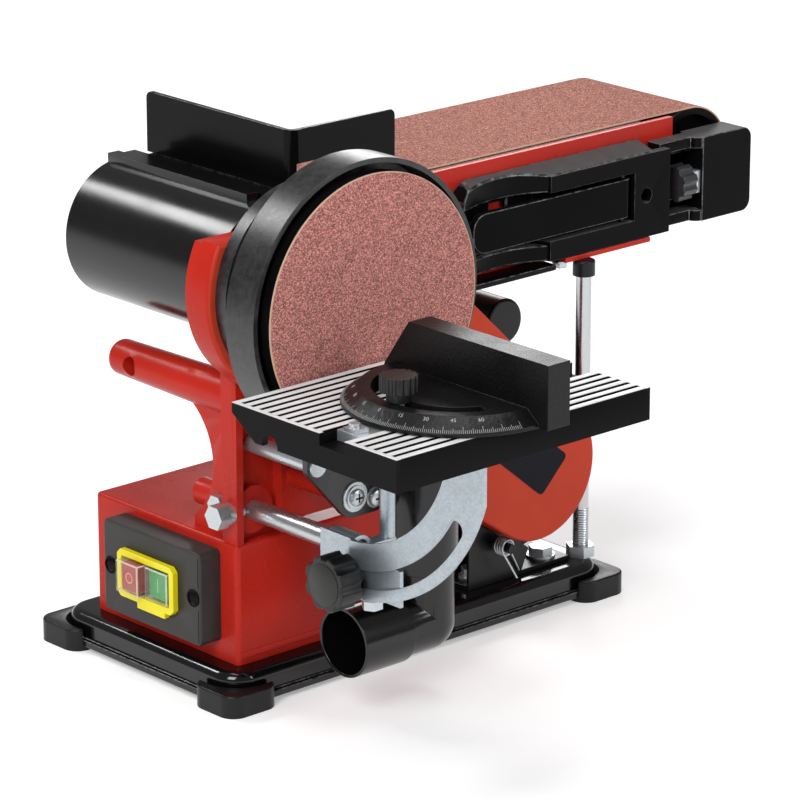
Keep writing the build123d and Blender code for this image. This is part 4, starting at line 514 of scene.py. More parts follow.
FINISHES = {
    "base_gloss": lambda n, c: paint_finish(n, c.black, 0.12, specular=0.5, peel=0.015),
    "red_gloss": lambda n, c: paint_finish(n, c.red, 0.28, specular=0.15, peel=0.03),
    "cover_red": lambda n, c: cover_finish(n, c.orange, c.red),
    "hood_sheet": lambda n, c: paint_finish(n, c.sheet, 0.2, specular=0.45, peel=0.012),
    "satin_sheet": lambda n, c: paint_finish(n, c.sheet, 0.2, specular=0.1, peel=0.012),
    "panel_dark": lambda n, c: paint_finish(n, c.panel, 0.3, specular=0.1, peel=0.012),
    "black_plate": lambda n, c: paint_finish(n, c.black, 0.3, specular=0.3, peel=0.02),
    "scale_marks": lambda n, c: paint_finish(n, c.marks, 0.5, specular=0.3, peel=0.01),
    # Rubbed edges: patches of wear, lighter also as a painted highlight along the edges
    "rubbed_and_highlit_black": lambda n, c: rubbed_finish(n, c.black, c.worn_black, 0.2, amount=0.8),
    "rubbed_and_highlit_red": lambda n, c: rubbed_finish(n, c.red, c.worn_red, 0.3, amount=0.7),
    # Its top faces are lighter, partly powder from sanding and partly painted light from above
    "black_moulding": lambda n, c: plastic_finish(n, c.plastic, 0.22, 0.04, specular=0.05, dust_and_sheen=0.85),
    # The guard's grey patches stand partly for a painted sheen on its rim
    "guard_moulding": lambda n, c: plastic_finish(n, c.guard, 0.3, 0.05, specular=0.55, bloom_and_sheen=0.3),
    "lever_moulding": lambda n, c: plastic_finish(n, c.plastic, 0.16, 0.03, specular=0.03),
    "pipe_moulding": lambda n, c: plastic_finish(n, c.plastic, 0.16, 0.02, specular=0.45),
    "knob_moulding": lambda n, c: plastic_finish(n, c.plastic, 0.38, 0.1, specular=0.4, bloom_and_sheen=0.15),
    "knob_grey": lambda n, c: plastic_finish(n, c.knob, 0.24, 0.06, specular=0.5),
    # A grey face on the black knob, as painted sheen
    "knob_face_sheen": lambda n, c: plastic_finish(n, c.knob_face, 0.4, 0.1, specular=0.3),
    "switch_moulding": lambda n, c: plastic_finish(n, c.switch, 0.42, 0.12, specular=0.25),
    "switch_yellow": lambda n, c: plastic_finish(n, c.yellow, 0.28, 0.02, specular=0.4),
    "start_green": lambda n, c: plastic_finish(n, c.green, 0.25, 0.02, specular=0.4),
    # The marks' pale colours, which on the buttons' edges are a painted highlight
    "start_mark_and_edge_highlight": lambda n, c: plastic_finish(n, c.start_mark, 0.35, 0.02, specular=0.3),
    "stop_red": lambda n, c: plastic_finish(n, c.stop, 0.25, 0.02, specular=0.4),
    "stop_mark_and_edge_highlight": lambda n, c: plastic_finish(n, c.stop_mark, 0.35, 0.02, specular=0.3),
    # Painted shade for the screws' cross recesses
    "recess_painted_shade": lambda n, c: plastic_finish(n, c.black, 0.5, 0.02, specular=0.2),
    "foot_rubber": lambda n, c: plastic_finish(n, c.rubber, 0.36, 0.1, specular=0.3),
    "cast_black": lambda n, c: cast_finish(n, c.plastic),
    # The alloy disc plate painted black, as painted shade inside the guard
    "disc_plate_shade_black": lambda n, c: cast_finish(n, c.black, specular=0.06),
    "zinc_plate": lambda n, c: metal_finish(n, c.zinc_sheet, 0.33, spangle=0.42, metallic=0.85),
    "bright_zinc": lambda n, c: metal_finish(n, c.zinc, 0.3, spangle=0.12, metallic=0.8),
    "ground_steel": lambda n, c: metal_finish(n, c.steel, 0.28, (1.0, 0.05, 1.0), metallic=0.9),
    "rod_steel": lambda n, c: metal_finish(n, c.steel, 0.22, (1.0, 1.0, 0.04)),
    "turned_alloy": lambda n, c: metal_finish(n, c.alloy, 0.3),
    "milled_table": lambda n, c: table_finish(n, c.alloy, c.sheet),
    "belt_grit": lambda n, c: grit_finish(n, c.belt, c.cloth, belt_edge),
    "disc_grit": lambda n, c: grit_finish(n, c.disc, c.cloth, disc_edge),
    "clear_boot": lambda n, c: clear_finish(n, 0.03, 0.08),
    # The boots' rounded edges, cloudier and paler as a painted reflection along them
    "boot_edge_reflection": lambda n, c: clear_finish(n, 0.3, 0.5),
}


def finish(name):
    """A finish by its name, made when it is first asked for."""
    return bpy.data.materials.get(name) or FINISHES[name](name, bpy.context.scene.sander_finishes)


# Making pieces

EDGE_STEPS = 2
EDGE_ANGLE = math.radians(32.0)
SMOOTH_ANGLE = math.radians(35.0)
FLAT_ANGLE = math.radians(0.5)
NODE_MERGE = 0.005 * MM
PIECE_MERGE = 0.001 * MM
BLOCK_STEPS = 3
THREAD_STEPS = 20
FACING = 0.9


def dress(name, *nodes):
    """Give carried-over nodes a finish."""
    for node in nodes:
        mesh = frame["nodes"][node].data
        mesh.materials.clear()
        mesh.materials.append(finish(name))


def soften(piece, width, worn=None):
    """Round a piece's edges, and give the rounding its own finish if worn names one: on the black and red
    pieces that finish is rubbed wear together with a painted highlight along the edge.
    """
    bevel = piece.modifiers.new("edges", "BEVEL")
    bevel.width = width
    bevel.segments = EDGE_STEPS
    bevel.limit_method = "ANGLE"
    bevel.angle_limit = EDGE_ANGLE
    bevel.harden_normals = True
    bevel.miter_outer = "MITER_ARC"
    if worn:
        piece.data.materials.append(finish(worn))
        bevel.material = 1


def rounded(name, width, *nodes, worn=None):
    """Copies of nodes, merged and with rounded edges, which stand for them."""
    for node in nodes:
        bm = bmesh.new()
        bm.from_mesh(frame["nodes"][node].data)
        bmesh.ops.remove_doubles(bm, verts=bm.verts, dist=NODE_MERGE)
        bmesh.ops.dissolve_limit(bm, angle_limit=FLAT_ANGLE, verts=bm.verts, edges=bm.edges)
        piece = add_piece(bm, node + "_finished", body_of(node), name)
        soften(piece, width, worn)
        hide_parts(node)


def add_piece(bm, name, body, finish_name):
    """Turn a bmesh into a piece that rides on a body and takes a finish."""
    mesh = bpy.data.meshes.new(name)
    bm.to_mesh(mesh)
    bm.free()
    mesh.materials.clear()
    mesh.materials.append(finish(finish_name))
    mesh.shade_smooth()
    mesh.set_sharp_from_angle(angle=SMOOTH_ANGLE)
    piece = bpy.data.objects.new(name, mesh)
    bpy.context.scene.collection.objects.link(piece)
    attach(piece, body)
    return piece


def block(bm, low, high, edge=0.0):
    """A box between two corners, its edges rounded if a width is given. Returns its vertices."""
    made = bmesh.ops.create_cube(bm, size=1.0)["verts"]
    bmesh.ops.scale(bm, vec=high - low, verts=made)
    bmesh.ops.translate(bm, vec=(low + high) / 2, verts=made)
    if edge:
        made = bmesh.ops.bevel(
            bm,
            geom=list(dict.fromkeys(e for v in made for e in v.link_edges)),
            offset=edge,
            segments=BLOCK_STEPS,
            profile=0.5,
            affect="EDGES",
            material=-1,
        )["verts"]
    return made


def turned(bm, profile, centre, axis, steps):
    """A profile of (radius, height) points in millimetres, spun about an axis."""
    side = axis.orthogonal().normalized()
    verts = [bm.verts.new(centre + side * r * MM + axis * h * MM) for r, h in profile]
    edges = [bm.edges.new(pair) for pair in zip(verts, verts[1:])]
    still = (0, 0, 0)
    full = 2 * math.pi
    bmesh.ops.spin(
        bm, geom=verts + edges, cent=centre, axis=axis, dvec=still, angle=full, steps=steps, use_merge=True
    )


def thread(bm, foot, axis, crest, pitch, turns, depth):
    """A thread wound up a rod, open towards the rod."""
    side = axis.orthogonal().normalized()
    section = ((crest - depth, 0.0), (crest, pitch / 2), (crest - depth, pitch))
    verts = [bm.verts.new(foot + side * r + axis * h) for r, h in section]
    edges = [bm.edges.new(pair) for pair in zip(verts, verts[1:])]
    bmesh.ops.spin(
        bm,
        geom=verts + edges,
        cent=foot,
        axis=axis,
        dvec=axis * (pitch / THREAD_STEPS),
        angle=2 * math.pi * turns,
        steps=THREAD_STEPS * turns,
    )


def closed(bm):
    """Merge what meets and point the faces outwards."""
    bmesh.ops.remove_doubles(bm, verts=bm.verts, dist=PIECE_MERGE)
    bmesh.ops.recalc_face_normals(bm, faces=bm.faces)
    return bm


def faces_towards(bm, axis):
    """The faces that look along an axis."""
    return [f for f in bm.faces if f.normal.dot(axis) > FACING]


def draw_out(bm, faces, move):
    """Extrude faces along a vector."""
    made = bmesh.ops.extrude_face_region(bm, geom=faces)["geom"]
    verts = [v for v in made if isinstance(v, bmesh.types.BMVert)]
    bmesh.ops.translate(bm, vec=move, verts=verts)


def round_corners(bm, corners, radius, steps):
    """Round corners of a flat outline."""
    bmesh.ops.bevel(
        bm, geom=corners, offset=radius * MM, segments=steps, profile=0.5, affect="VERTICES", material=-1
    )


def cut_away(bm, place, outwards):
    """Cut off what lies beyond a plane, and close the cut."""
    made = bmesh.ops.bisect_plane(
        bm,
        geom=bm.verts[:] + bm.edges[:] + bm.faces[:],
        plane_co=place,
        plane_no=Vector(outwards).normalized(),
        clear_outer=True,
    )["geom_cut"]
    bmesh.ops.edgeloop_fill(bm, edges=[e for e in made if isinstance(e, bmesh.types.BMEdge)])


def lettering(bm, text, size, thick, place):
    """Flat numbers, set at a place and direction given by a matrix."""
    curve = bpy.data.curves.new("numbers", "FONT")
    curve.body = text
    curve.size = size
    curve.align_x = "CENTER"
    curve.align_y = "CENTER"
    curve.extrude = thick
    holder = bpy.data.objects.new("numbers", curve)
    mesh = bpy.data.meshes.new_from_object(holder)
    mesh.transform(place)
    bm.from_mesh(mesh)
    bpy.data.objects.remove(holder)
    bpy.data.curves.remove(curve)
    bpy.data.meshes.remove(mesh)


# Operators. Their sizes are in millimetres, and their places are from the arbor, as spot takes them


class SANDER_OT_stand(bpy.types.Operator):
    """Finish the base tray, feet, switch box, column and support rod"""

    bl_idname = "sander.stand"
    bl_label = "Stand"

    FEET = ("foot_front_left", "foot_front_right", "foot_rear_left", "foot_rear_right")
    THREAD_START, THREAD_TURNS = 6.0, 16
    THREAD_PROUD, THREAD_DEPTH = 0.25, 0.35
    HEM_BOTTOM, HEM_TOP = 4.0, 8.0
    HEM_PROUD, HEM_SUNK = 0.5, 0.3
    HEM_SHORT, HEM_EDGE = 2.0, 0.25

    def execute(self, context):
        sizes = context.scene.sander_sizes
        rounded("base_gloss", sizes.sheet_edge, "base_plate", worn="rubbed_and_highlit_black")
        rounded("red_gloss", sizes.sheet_edge, "switch_box", worn="rubbed_and_highlit_red")
        rounded("red_gloss", sizes.moulded_edge, "column", worn="rubbed_and_highlit_red")
        rounded("foot_rubber", sizes.sheet_edge, *self.FEET)
        dress("foot_rubber", "rod_cap")
        dress("rod_steel", "support_rod")
        rounded("bright_zinc", sizes.machined_edge, "base_bolts", "shaft_bolts")
        self.rod_thread(sizes)
        self.hem()
        return {"FINISHED"}

    def rod_thread(self, sizes):
        """The thread on the foot of the support rod."""
        low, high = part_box("support_rod")
        foot = (low + high) / 2
        foot.z = low.z + self.THREAD_START * MM
        crest = (high.x - low.x) / 2 + self.THREAD_PROUD * MM
        depth = self.THREAD_DEPTH * MM
        bm = bmesh.new()
        thread(bm, foot, Z_AXIS, crest, sizes.thread_pitch, self.THREAD_TURNS, depth)
        add_piece(closed(bm), "rod_thread", body_of("support_rod"), "bright_zinc")

    def hem(self):
        """The folded hem along the foot of the switch box's front."""
        low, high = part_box("switch_box")
        short = self.HEM_SHORT * MM
        front, back = low.y - self.HEM_PROUD * MM, low.y + self.HEM_SUNK * MM
        start = Vector((low.x + short, front, low.z + self.HEM_BOTTOM * MM))
        end = Vector((high.x - short, back, low.z + self.HEM_TOP * MM))
        bm = bmesh.new()
        block(bm, start, end, self.HEM_EDGE * MM)
        add_piece(closed(bm), "box_hem", body_of("switch_box"), "red_gloss")


class SANDER_OT_drive(bpy.types.Operator):
    """Finish the motor, its bracket and spring, and the drive cover with its dark panel"""

    bl_idname = "sander.drive"
    bl_label = "Motor and drive"

    PANEL = ((145.0, -133.0), (190.0, -170.0), (211.0, -149.0), (166.0, -112.0))
    PANEL_CORNER, PANEL_STEPS = 3.0, 4
    PANEL_THICK = 0.4

    def execute(self, context):
        sizes = context.scene.sander_sizes
        rounded("black_plate", sizes.sheet_edge, "motor_bracket")
        dress("black_plate", "motor_body", "drive_backplate", "drive_belt", "motor_capacitor")
        dress("bright_zinc", "tension_spring")
        dress("ground_steel", "motor_rotor", "arbor_shaft", "arbor_bearing", "far_bearing", "platen")
        dress("turned_alloy", "arbor_pulley", "drive_drum")
        rounded("cover_red", sizes.moulded_edge, "drive_cover")
        self.panel()
        return {"FINISHED"}

    def panel(self):
        """The plate on the drive cover's face."""
        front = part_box("drive_cover")[0].y
        bm = bmesh.new()
        for x, z in self.PANEL:
            corner = bm.verts.new(spot(x, 0, z))
            corner.co.y = front
        bm.faces.new(bm.verts)
        round_corners(bm, list(bm.verts), self.PANEL_CORNER, self.PANEL_STEPS)
        draw_out(bm, list(bm.faces), -Y_AXIS * self.PANEL_THICK * MM)
        add_piece(closed(bm), "cover_panel", body_of("drive_cover"), "panel_dark")


class SANDER_OT_switch(bpy.types.Operator):
    """Finish the switch, with its buttons under clear boots"""

    bl_idname = "sander.switch"
    bl_label = "Switch"

    RECESSES = ((101.5, -185.8), (176.5, -185.8))
    RING = ((3.9, -0.3), (3.9, 0.5), (4.3, 0.8), (4.9, 0.8), (5.3, 0.5), (5.3, -0.3), (3.9, -0.3))
    RING_STEPS = 40
    SEAM_NEAR, SEAM_FAR = 97.0, 97.35
    SEAM_ENDS = ((-212.0, -192.5), (-179.0, -161.0))
    PROUD, SUNK = 0.15, 0.3
    STOP_RING = ((2.5, -0.1), (2.5, 0.15), (3.2, 0.15), (3.2, -0.1), (2.5, -0.1))
    START_BAR = (0.0, 0.45, 4.2)
    BOOT_ROOM = (0.0, 0.3, 0.3)
    STOP_BOOT_OUT, START_BOOT_OUT = 0.0, 2.0

    # The room that each coloured block leaves in its button's outline, at the low and the high corner

    STOP_ROOM = ((0.8, 1.8, 2.6), (0.0, 5.2, 0.9))
    START_ROOM = ((0.0, 2.2, 2.2), (0.0, 2.2, 1.4))

    def execute(self, context):
        sizes = context.scene.sander_sizes
        rounded("switch_moulding", sizes.sheet_edge, "switch_plate")
        rounded("switch_yellow", sizes.sheet_edge, "switch_frame")
        self.plate_marks()
        low, high = self.button(sizes, "stop_button", "stop_red", "stop_mark_and_edge_highlight", self.STOP_ROOM)
        self.stop_ring(low, high)
        self.boot(sizes, "stop_button", self.STOP_BOOT_OUT)
        low, high = self.button(sizes, "start_button", "start_green", "start_mark_and_edge_highlight", self.START_ROOM)
        self.start_bar(low, high)
        self.boot(sizes, "start_button", self.START_BOOT_OUT)
        return {"FINISHED"}

    def plate_marks(self):
        """The rims of the switch plate's recesses, and its seam."""
        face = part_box("switch_plate")[0].x
        bm = bmesh.new()
        for y, z in self.RECESSES:
            centre = spot(0, y, z)
            centre.x = face
            turned(bm, self.RING, centre, -X_AXIS, self.RING_STEPS)
        closed(bm)
        for low_z, high_z in self.SEAM_ENDS:
            low, high = spot(0, self.SEAM_NEAR, low_z), spot(0, self.SEAM_FAR, high_z)
            self.inlay(bm, low, high, face)
        add_piece(bm, "switch_rings", body_of("switch_plate"), "black_moulding")

    def inlay(self, bm, low, high, face):
        """A flat block let into a face that looks left."""
        low.x, high.x = face - self.PROUD * MM, face + self.SUNK * MM
        block(bm, low, high)

    def button(self, sizes, node, face_finish, edge_highlight_finish, room):
        """A coloured block inside the button's outline, which stands for it. Returns its corners."""
        low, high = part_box(node)
        low_room, high_room = room
        inner_low, inner_high = low + Vector(low_room) * MM, high - Vector(high_room) * MM
        bm = bmesh.new()
        block(bm, inner_low, inner_high)
        piece = add_piece(bm, node + "_block", body_of(node), face_finish)
        # The block's rounded edges take a pale finish, as a painted highlight along them
        soften(piece, sizes.sheet_edge, edge_highlight_finish)
        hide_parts(node)
        return inner_low, inner_high

    def boot(self, sizes, node, out):
        """A thin clear cap over the button, open at its back, standing out by a given length."""
        low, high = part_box(node)
        room = Vector(self.BOOT_ROOM) * MM
        bm = bmesh.new()
        block(bm, low - X_AXIS * out * MM + room, high - room)
        bmesh.ops.delete(bm, geom=faces_towards(bm, X_AXIS), context="FACES_ONLY")
        boot = add_piece(bm, node + "_boot", body_of(node), "clear_boot")
        # Its rounded edges are cloudier, as a painted reflection on the clear edges
        soften(boot, sizes.boot_edge, "boot_edge_reflection")
        wall = boot.modifiers.new("wall", "SOLIDIFY")
        wall.thickness = sizes.boot_wall
        wall.offset = -1.0

    def stop_ring(self, low, high):
        centre = (low + high) / 2
        centre.x = low.x
        bm = bmesh.new()
        turned(bm, self.STOP_RING, centre, -X_AXIS, self.RING_STEPS)
        add_piece(closed(bm), "stop_ring", body_of("stop_button"), "stop_mark_and_edge_highlight")

    def start_bar(self, low, high):
        middle = (low + high) / 2
        half = Vector(self.START_BAR) * MM
        bm = bmesh.new()
        self.inlay(bm, middle - half, middle + half, low.x)
        add_piece(bm, "start_bar", body_of("start_button"), "start_mark_and_edge_highlight")


class SANDER_OT_disc(bpy.types.Operator):
    """Finish the sanding disc, its guard with the lug's screws, and the dust pipe"""

    bl_idname = "sander.disc"
    bl_label = "Disc and guard"

    LUG_FACE = 29.0
    SCREWS = ((10.4, -119.7, 9.0), (25.4, -123.2, 6.3))
    WASHER_TOP, WASHER_EDGE = 1.1, 0.3
    UPPER_WASHER_TOP, UPPER_WASHER_LESS = 2.0, 2.2
    SCREW_HEAD = ((5.0, 2.0), (5.0, 2.8), (4.7, 3.5), (3.8, 4.0), (2.2, 4.3), (0, 4.35))
    CROSS_LONG, CROSS_WIDE = 2.6, 0.55
    CROSS_HEIGHT, CROSS_DEEP = 4.15, 0.25
    STUD = (-17.0, -96.0)
    STUD_HEAD = ((0, 1.2), (5.6, 1.2), (6.0, 0.9), (6.0, 0))
    STUD_RADIUS, STUD_EDGE = 5.0, 0.4
    STEPS = 48

    def execute(self, context):
        sizes = context.scene.sander_sizes
        rounded("guard_moulding", sizes.moulded_edge, "guard")
        rounded("pipe_moulding", sizes.sheet_edge, "dust_pipe")
        # The alloy disc plate is painted black as the shade inside the guard; its rounded edges show the
        # alloy
        rounded("disc_plate_shade_black", sizes.sheet_edge, "disc_plate", worn="turned_alloy")
        dress("disc_grit", "sanding_disc")
        bm, cross = bmesh.new(), bmesh.new()
        for x, z, washer in self.SCREWS:
            seat = spot(x, self.LUG_FACE, z)
            turned(bm, self.screw(washer), seat, -Y_AXIS, self.STEPS)
            self.cross(cross, seat - Y_AXIS * self.CROSS_HEIGHT * MM)
        self.stud(bm)
        fixings = add_piece(closed(bm), "lug_screws", body_of("guard_fixings"), "bright_zinc")
        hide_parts("guard_fixings")
        add_piece(cross, "screw_crosses", body_of("guard_fixings"), "recess_painted_shade")
        return {"FINISHED"}

    def screw(self, washer):
        """The profile of a domed screw on two washers, the lower one of a given radius."""
        top, edge = self.WASHER_TOP, self.WASHER_EDGE
        upper = washer - self.UPPER_WASHER_LESS
        lower_washer = ((0, 0), (washer, 0), (washer, top - edge), (washer - edge, top))
        return lower_washer + ((upper, top), (upper, self.UPPER_WASHER_TOP)) + self.SCREW_HEAD

    def cross(self, bm, top):
        """The cross recess in a screw's head, as dark blocks that paint the shade in it."""
        for half_x, half_z in ((self.CROSS_LONG, self.CROSS_WIDE), (self.CROSS_WIDE, self.CROSS_LONG)):
            half = Vector((half_x, self.CROSS_DEEP, half_z)) * MM
            block(bm, top - half, top + half)

    def stud(self, bm):
        """The spacer stud, as long as the solid that it stands for."""
        x, z = self.STUD
        seat = spot(x, self.LUG_FACE, z)
        back = (seat.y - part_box("guard_fixings")[1].y) / MM
        radius, edge = self.STUD_RADIUS, self.STUD_EDGE
        shank = ((radius, 0), (radius, back + edge), (radius - edge, back), (0, back))
        turned(bm, self.STUD_HEAD + shank, seat, -Y_AXIS, self.STEPS)


class SANDER_OT_table(bpy.types.Operator):
    """Finish the tilting table, its quadrant and its bracket"""

    bl_idname = "sander.table"
    bl_label = "Table"

    KNOB_FACE = ((0, -0.4), (12.2, -0.4), (12.2, 0.3), (11.7, 0.6), (0, 0.7))
    KNOB_STEPS = 48

    def execute(self, context):
        sizes = context.scene.sander_sizes
        rounded("milled_table", sizes.table_edge, "table_top")
        rounded("zinc_plate", sizes.machined_edge, "quadrant", "table_bracket")
        rounded("bright_zinc", sizes.machined_edge, "table_fixings", "bracket_bolts")
        dress("ground_steel", "table_shaft")
        rounded("knob_moulding", sizes.sheet_edge, "tilt_knob")
        low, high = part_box("tilt_knob")
        middle = (low + high) / 2
        middle.x = low.x
        bm = bmesh.new()
        # A grey face on the knob's front, as painted sheen on its black face
        turned(bm, self.KNOB_FACE, middle, -X_AXIS, self.KNOB_STEPS)
        add_piece(closed(bm), "tilt_knob_face", body_of("tilt_knob"), "knob_face_sheen")
        return {"FINISHED"}


class SANDER_OT_mitre(bpy.types.Operator):
    """Finish the mitre gauge and set out its scale"""

    bl_idname = "sander.mitre"
    bl_label = "Mitre gauge"

    RIM_RADIUS, RIM_HEIGHT = 62.5, 2.0
    CROWN_RADIUS, CROWN_HEIGHT = 53.5, 9.0
    LAST_TICK = 80
    TICKS = ((10, 4.4), (5, 3.2), (1, 2.2))
    TICK_HALF_WIDTH, TICK_HALF_THICK = 0.11, 0.06
    TICK_START = 0.03
    NUMBERS = (0, 15, 30, 45, 60)
    NUMBER_SIZE, NUMBER_THICK = 3.2, 0.04
    NUMBER_SHARE = 0.76

    def execute(self, context):
        sizes = context.scene.sander_sizes
        rounded("cast_black", sizes.sheet_edge, "mitre_head")
        rounded("knob_moulding", sizes.machined_edge, "mitre_knob")
        rounded("bright_zinc", sizes.machined_edge, "mitre_bar", "mitre_pointer")
        pivot = joint_place("mitre_swivel")
        pivot.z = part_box("mitre_head")[0].z
        bm = bmesh.new()
        for degrees in range(-self.LAST_TICK, self.LAST_TICK + 1):
            reach = next(reach for step, reach in self.TICKS if degrees % step == 0)
            self.tick(bm, pivot, degrees, reach)
        for degrees in self.NUMBERS:
            for side in sorted({degrees, -degrees}):
                place = self.on_band(pivot, side, self.NUMBER_SHARE)
                lettering(bm, str(degrees), self.NUMBER_SIZE * MM, self.NUMBER_THICK * MM, place)
        add_piece(bm, "mitre_scale", body_of("mitre_head"), "scale_marks")
        return {"FINISHED"}

    def on_band(self, pivot, degrees, share):
        """The matrix of a place on the bevelled band, its Y across the band and its Z out of it."""
        inwards, upwards = self.CROWN_RADIUS - self.RIM_RADIUS, self.CROWN_HEIGHT - self.RIM_HEIGHT
        radius = self.RIM_RADIUS + inwards * share
        height = self.RIM_HEIGHT + upwards * share
        swing = Matrix.Rotation(math.radians(180 + degrees), 4, "Z")
        lean = Matrix.Rotation(math.atan2(upwards, -inwards), 4, "Y")
        upright = Matrix.Rotation(math.radians(90), 4, "Z")
        out = Matrix.Translation((radius * MM, 0, height * MM))
        return Matrix.Translation(pivot) @ swing @ out @ lean @ upright

    def tick(self, bm, pivot, degrees, reach):
        """A graduation that starts near the rim."""
        band = math.hypot(self.RIM_RADIUS - self.CROWN_RADIUS, self.CROWN_HEIGHT - self.RIM_HEIGHT)
        share = 0.5 * reach / band + self.TICK_START
        half = Vector((self.TICK_HALF_WIDTH, reach / 2, self.TICK_HALF_THICK)) * MM
        made = block(bm, -half, half)
        bmesh.ops.transform(bm, matrix=self.on_band(pivot, degrees, share), verts=made)


class SANDER_OT_arm(bpy.types.Operator):
    """Finish the belt arm with its covers, belt and idler carriage"""

    bl_idname = "sander.arm"
    bl_label = "Belt arm"

    SCOOP = ((217.0, 84.9), (196.0, 94.8), (170.0, 94.8), (148.0, 87.5))
    SCOOP_ROUND, SCOOP_STEPS = 10.0, 8
    RIM_INSIDE, RIM_JOIN, RIM_OUTSIDE = 8.0, 15.0, 18.15
    UPPER_CORNER = ((165.0, 24.0), (157.0, 22.1), (152.0, 18.4), (148.5, 13.2))
    LOWER_CORNER = ((161.0, 18.15), (156.5, 17.55), (152.0, 15.75), (148.0, 12.6))
    TOP_FALL = ((84.0, 18.0), (101.0, 23.3))
    TOP_END, TOP_HEIGHT = 303.0, 30.0
    FLOORS = ((152.0, 177.0), (190.0, 211.0))
    FLOOR_FRONT, FLOOR_LAP = 96.5, 0.5
    BOLT = (231.0, 92.5)
    BOLT_SHANK = ((0, -1.0), (2.6, -1.0), (2.6, 3.6), (5.6, 3.6), (5.6, 4.6), (0, 4.6))
    BOLT_HEAD = ((0, 4.6), (4.4, 4.6), (4.9, 5.0), (4.9, 7.4), (4.4, 7.9), (0, 7.9))
    BOLT_STEPS, HEX = 32, 6

    def execute(self, context):
        sizes = context.scene.sander_sizes
        rounded("red_gloss", sizes.sheet_edge, "arm_frame", worn="rubbed_and_highlit_red")
        rounded("hood_sheet", sizes.sheet_edge, "hood", worn="rubbed_and_highlit_black")
        rounded("satin_sheet", sizes.sheet_edge, "work_stop", "bottom_cover", worn="rubbed_and_highlit_black")
        rounded("black_moulding", sizes.moulded_edge, "side_cover", "end_block", worn="rubbed_and_highlit_black")
        rounded("lever_moulding", sizes.sheet_edge, "tension_lever", worn="rubbed_and_highlit_black")
        rounded("knob_grey", sizes.sheet_edge, "tracking_knob")
        rounded("bright_zinc", sizes.machined_edge, "tracking_screw", "arm_screws")
        dress("bright_zinc", "idler_axle")
        dress("black_plate", "lever_pin")
        dress("black_moulding", "idler_drum")
        dress("belt_grit", "sanding_belt")
        low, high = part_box("side_cover")
        middle = (low + high) / 2
        back = (high.y - ARBOR.y) / MM
        self.upper_rim(sizes, back)
        self.lower_rim(sizes, back, middle)
        self.scoop_floor(sizes, back, (middle.z - ARBOR.z) / MM)
        self.cover_bolt(low.z)
        return {"FINISHED"}

    def upper_rim(self, sizes, back):
        """The side cover's rim above the lever, hollowed for the fingers, and its sloping top."""
        bm = self.rim(back, self.RIM_JOIN, self.TOP_HEIGHT, self.TOP_END)
        scoop_end = spot(self.SCOOP[0][0], 0, 0).x
        under = [f for f in faces_towards(bm, -Z_AXIS) if f.calc_center_median().x < scoop_end]
        draw_out(bm, under, Z_AXIS * (self.RIM_INSIDE - self.RIM_JOIN) * MM)
        bmesh.ops.delete(bm, geom=under, context="FACES_ONLY")
        self.trim(bm, self.UPPER_CORNER)
        (front, low), (rear, high) = self.TOP_FALL
        cut_away(bm, spot(0, front, low), (0, low - high, rear - front))
        self.moulding(sizes, bm, "cover_upper_rim")

    def lower_rim(self, sizes, back, middle):
        """The rim below the lever, made above the cover's middle and turned over."""
        bm = self.rim(back, self.RIM_INSIDE, self.RIM_OUTSIDE)
        self.trim(bm, self.LOWER_CORNER)
        bmesh.ops.scale(bm, vec=(1, 1, -1), space=Matrix.Translation(-middle), verts=bm.verts)
        self.moulding(sizes, bm, "cover_lower_rim")

    def scoop_floor(self, sizes, back, middle):
        """The raised floor of the scoop, in two stretches."""
        bm = bmesh.new()
        reach = self.RIM_INSIDE + self.FLOOR_LAP - middle
        for left, right in self.FLOORS:
            low = spot(left, self.FLOOR_FRONT, middle - reach)
            block(bm, low, spot(right, back, middle + reach))
        self.moulding(sizes, bm, "cover_floor")

    def rim(self, back, bottom, top, end=None):
        """A slab with the scoop's hollow in its front, carried on along the cover if an end is given."""
        bm = bmesh.new()
        right, front = self.SCOOP[0]
        left = self.SCOOP[-1][0]
        plan = self.SCOOP + ((left, back), (right, back))
        corners = [bm.verts.new(spot(x, y, bottom)) for x, y in plan]
        bm.faces.new(corners)
        if end:
            far = [bm.verts.new(spot(end, y, bottom)) for y in (back, front)]
            bm.faces.new([corners[0], corners[-1]] + far)
        round_corners(bm, corners[1:3], self.SCOOP_ROUND, self.SCOOP_STEPS)
        draw_out(bm, list(bm.faces), Z_AXIS * (top - bottom) * MM)
        return closed(bm)

    def trim(self, bm, corner):
        """Round off the left end along a line of (x, z) points."""
        for (x, z), (next_x, next_z) in zip(corner, corner[1:]):
            cut_away(bm, spot(x, 0, z), (next_z - z, 0, x - next_x))

    def moulding(self, sizes, bm, name):
        """Add a part of the side cover's moulding."""
        body, slot = body_of("side_cover"), slot_of("side_cover")
        piece = add_piece(closed(bm), name, body, "black_moulding")
        soften(piece, sizes.moulded_edge, "rubbed_and_highlit_black")

    def cover_bolt(self, under):
        """The bolt that hangs from the side cover's lower edge, with its washer."""
        seat = spot(*self.BOLT, 0)
        seat.z = under
        bm = bmesh.new()
        turned(bm, self.BOLT_SHANK, seat, -Z_AXIS, self.BOLT_STEPS)
        turned(bm, self.BOLT_HEAD, seat, -Z_AXIS, self.HEX)
        add_piece(closed(bm), "cover_bolt", body_of("side_cover"), "bright_zinc")


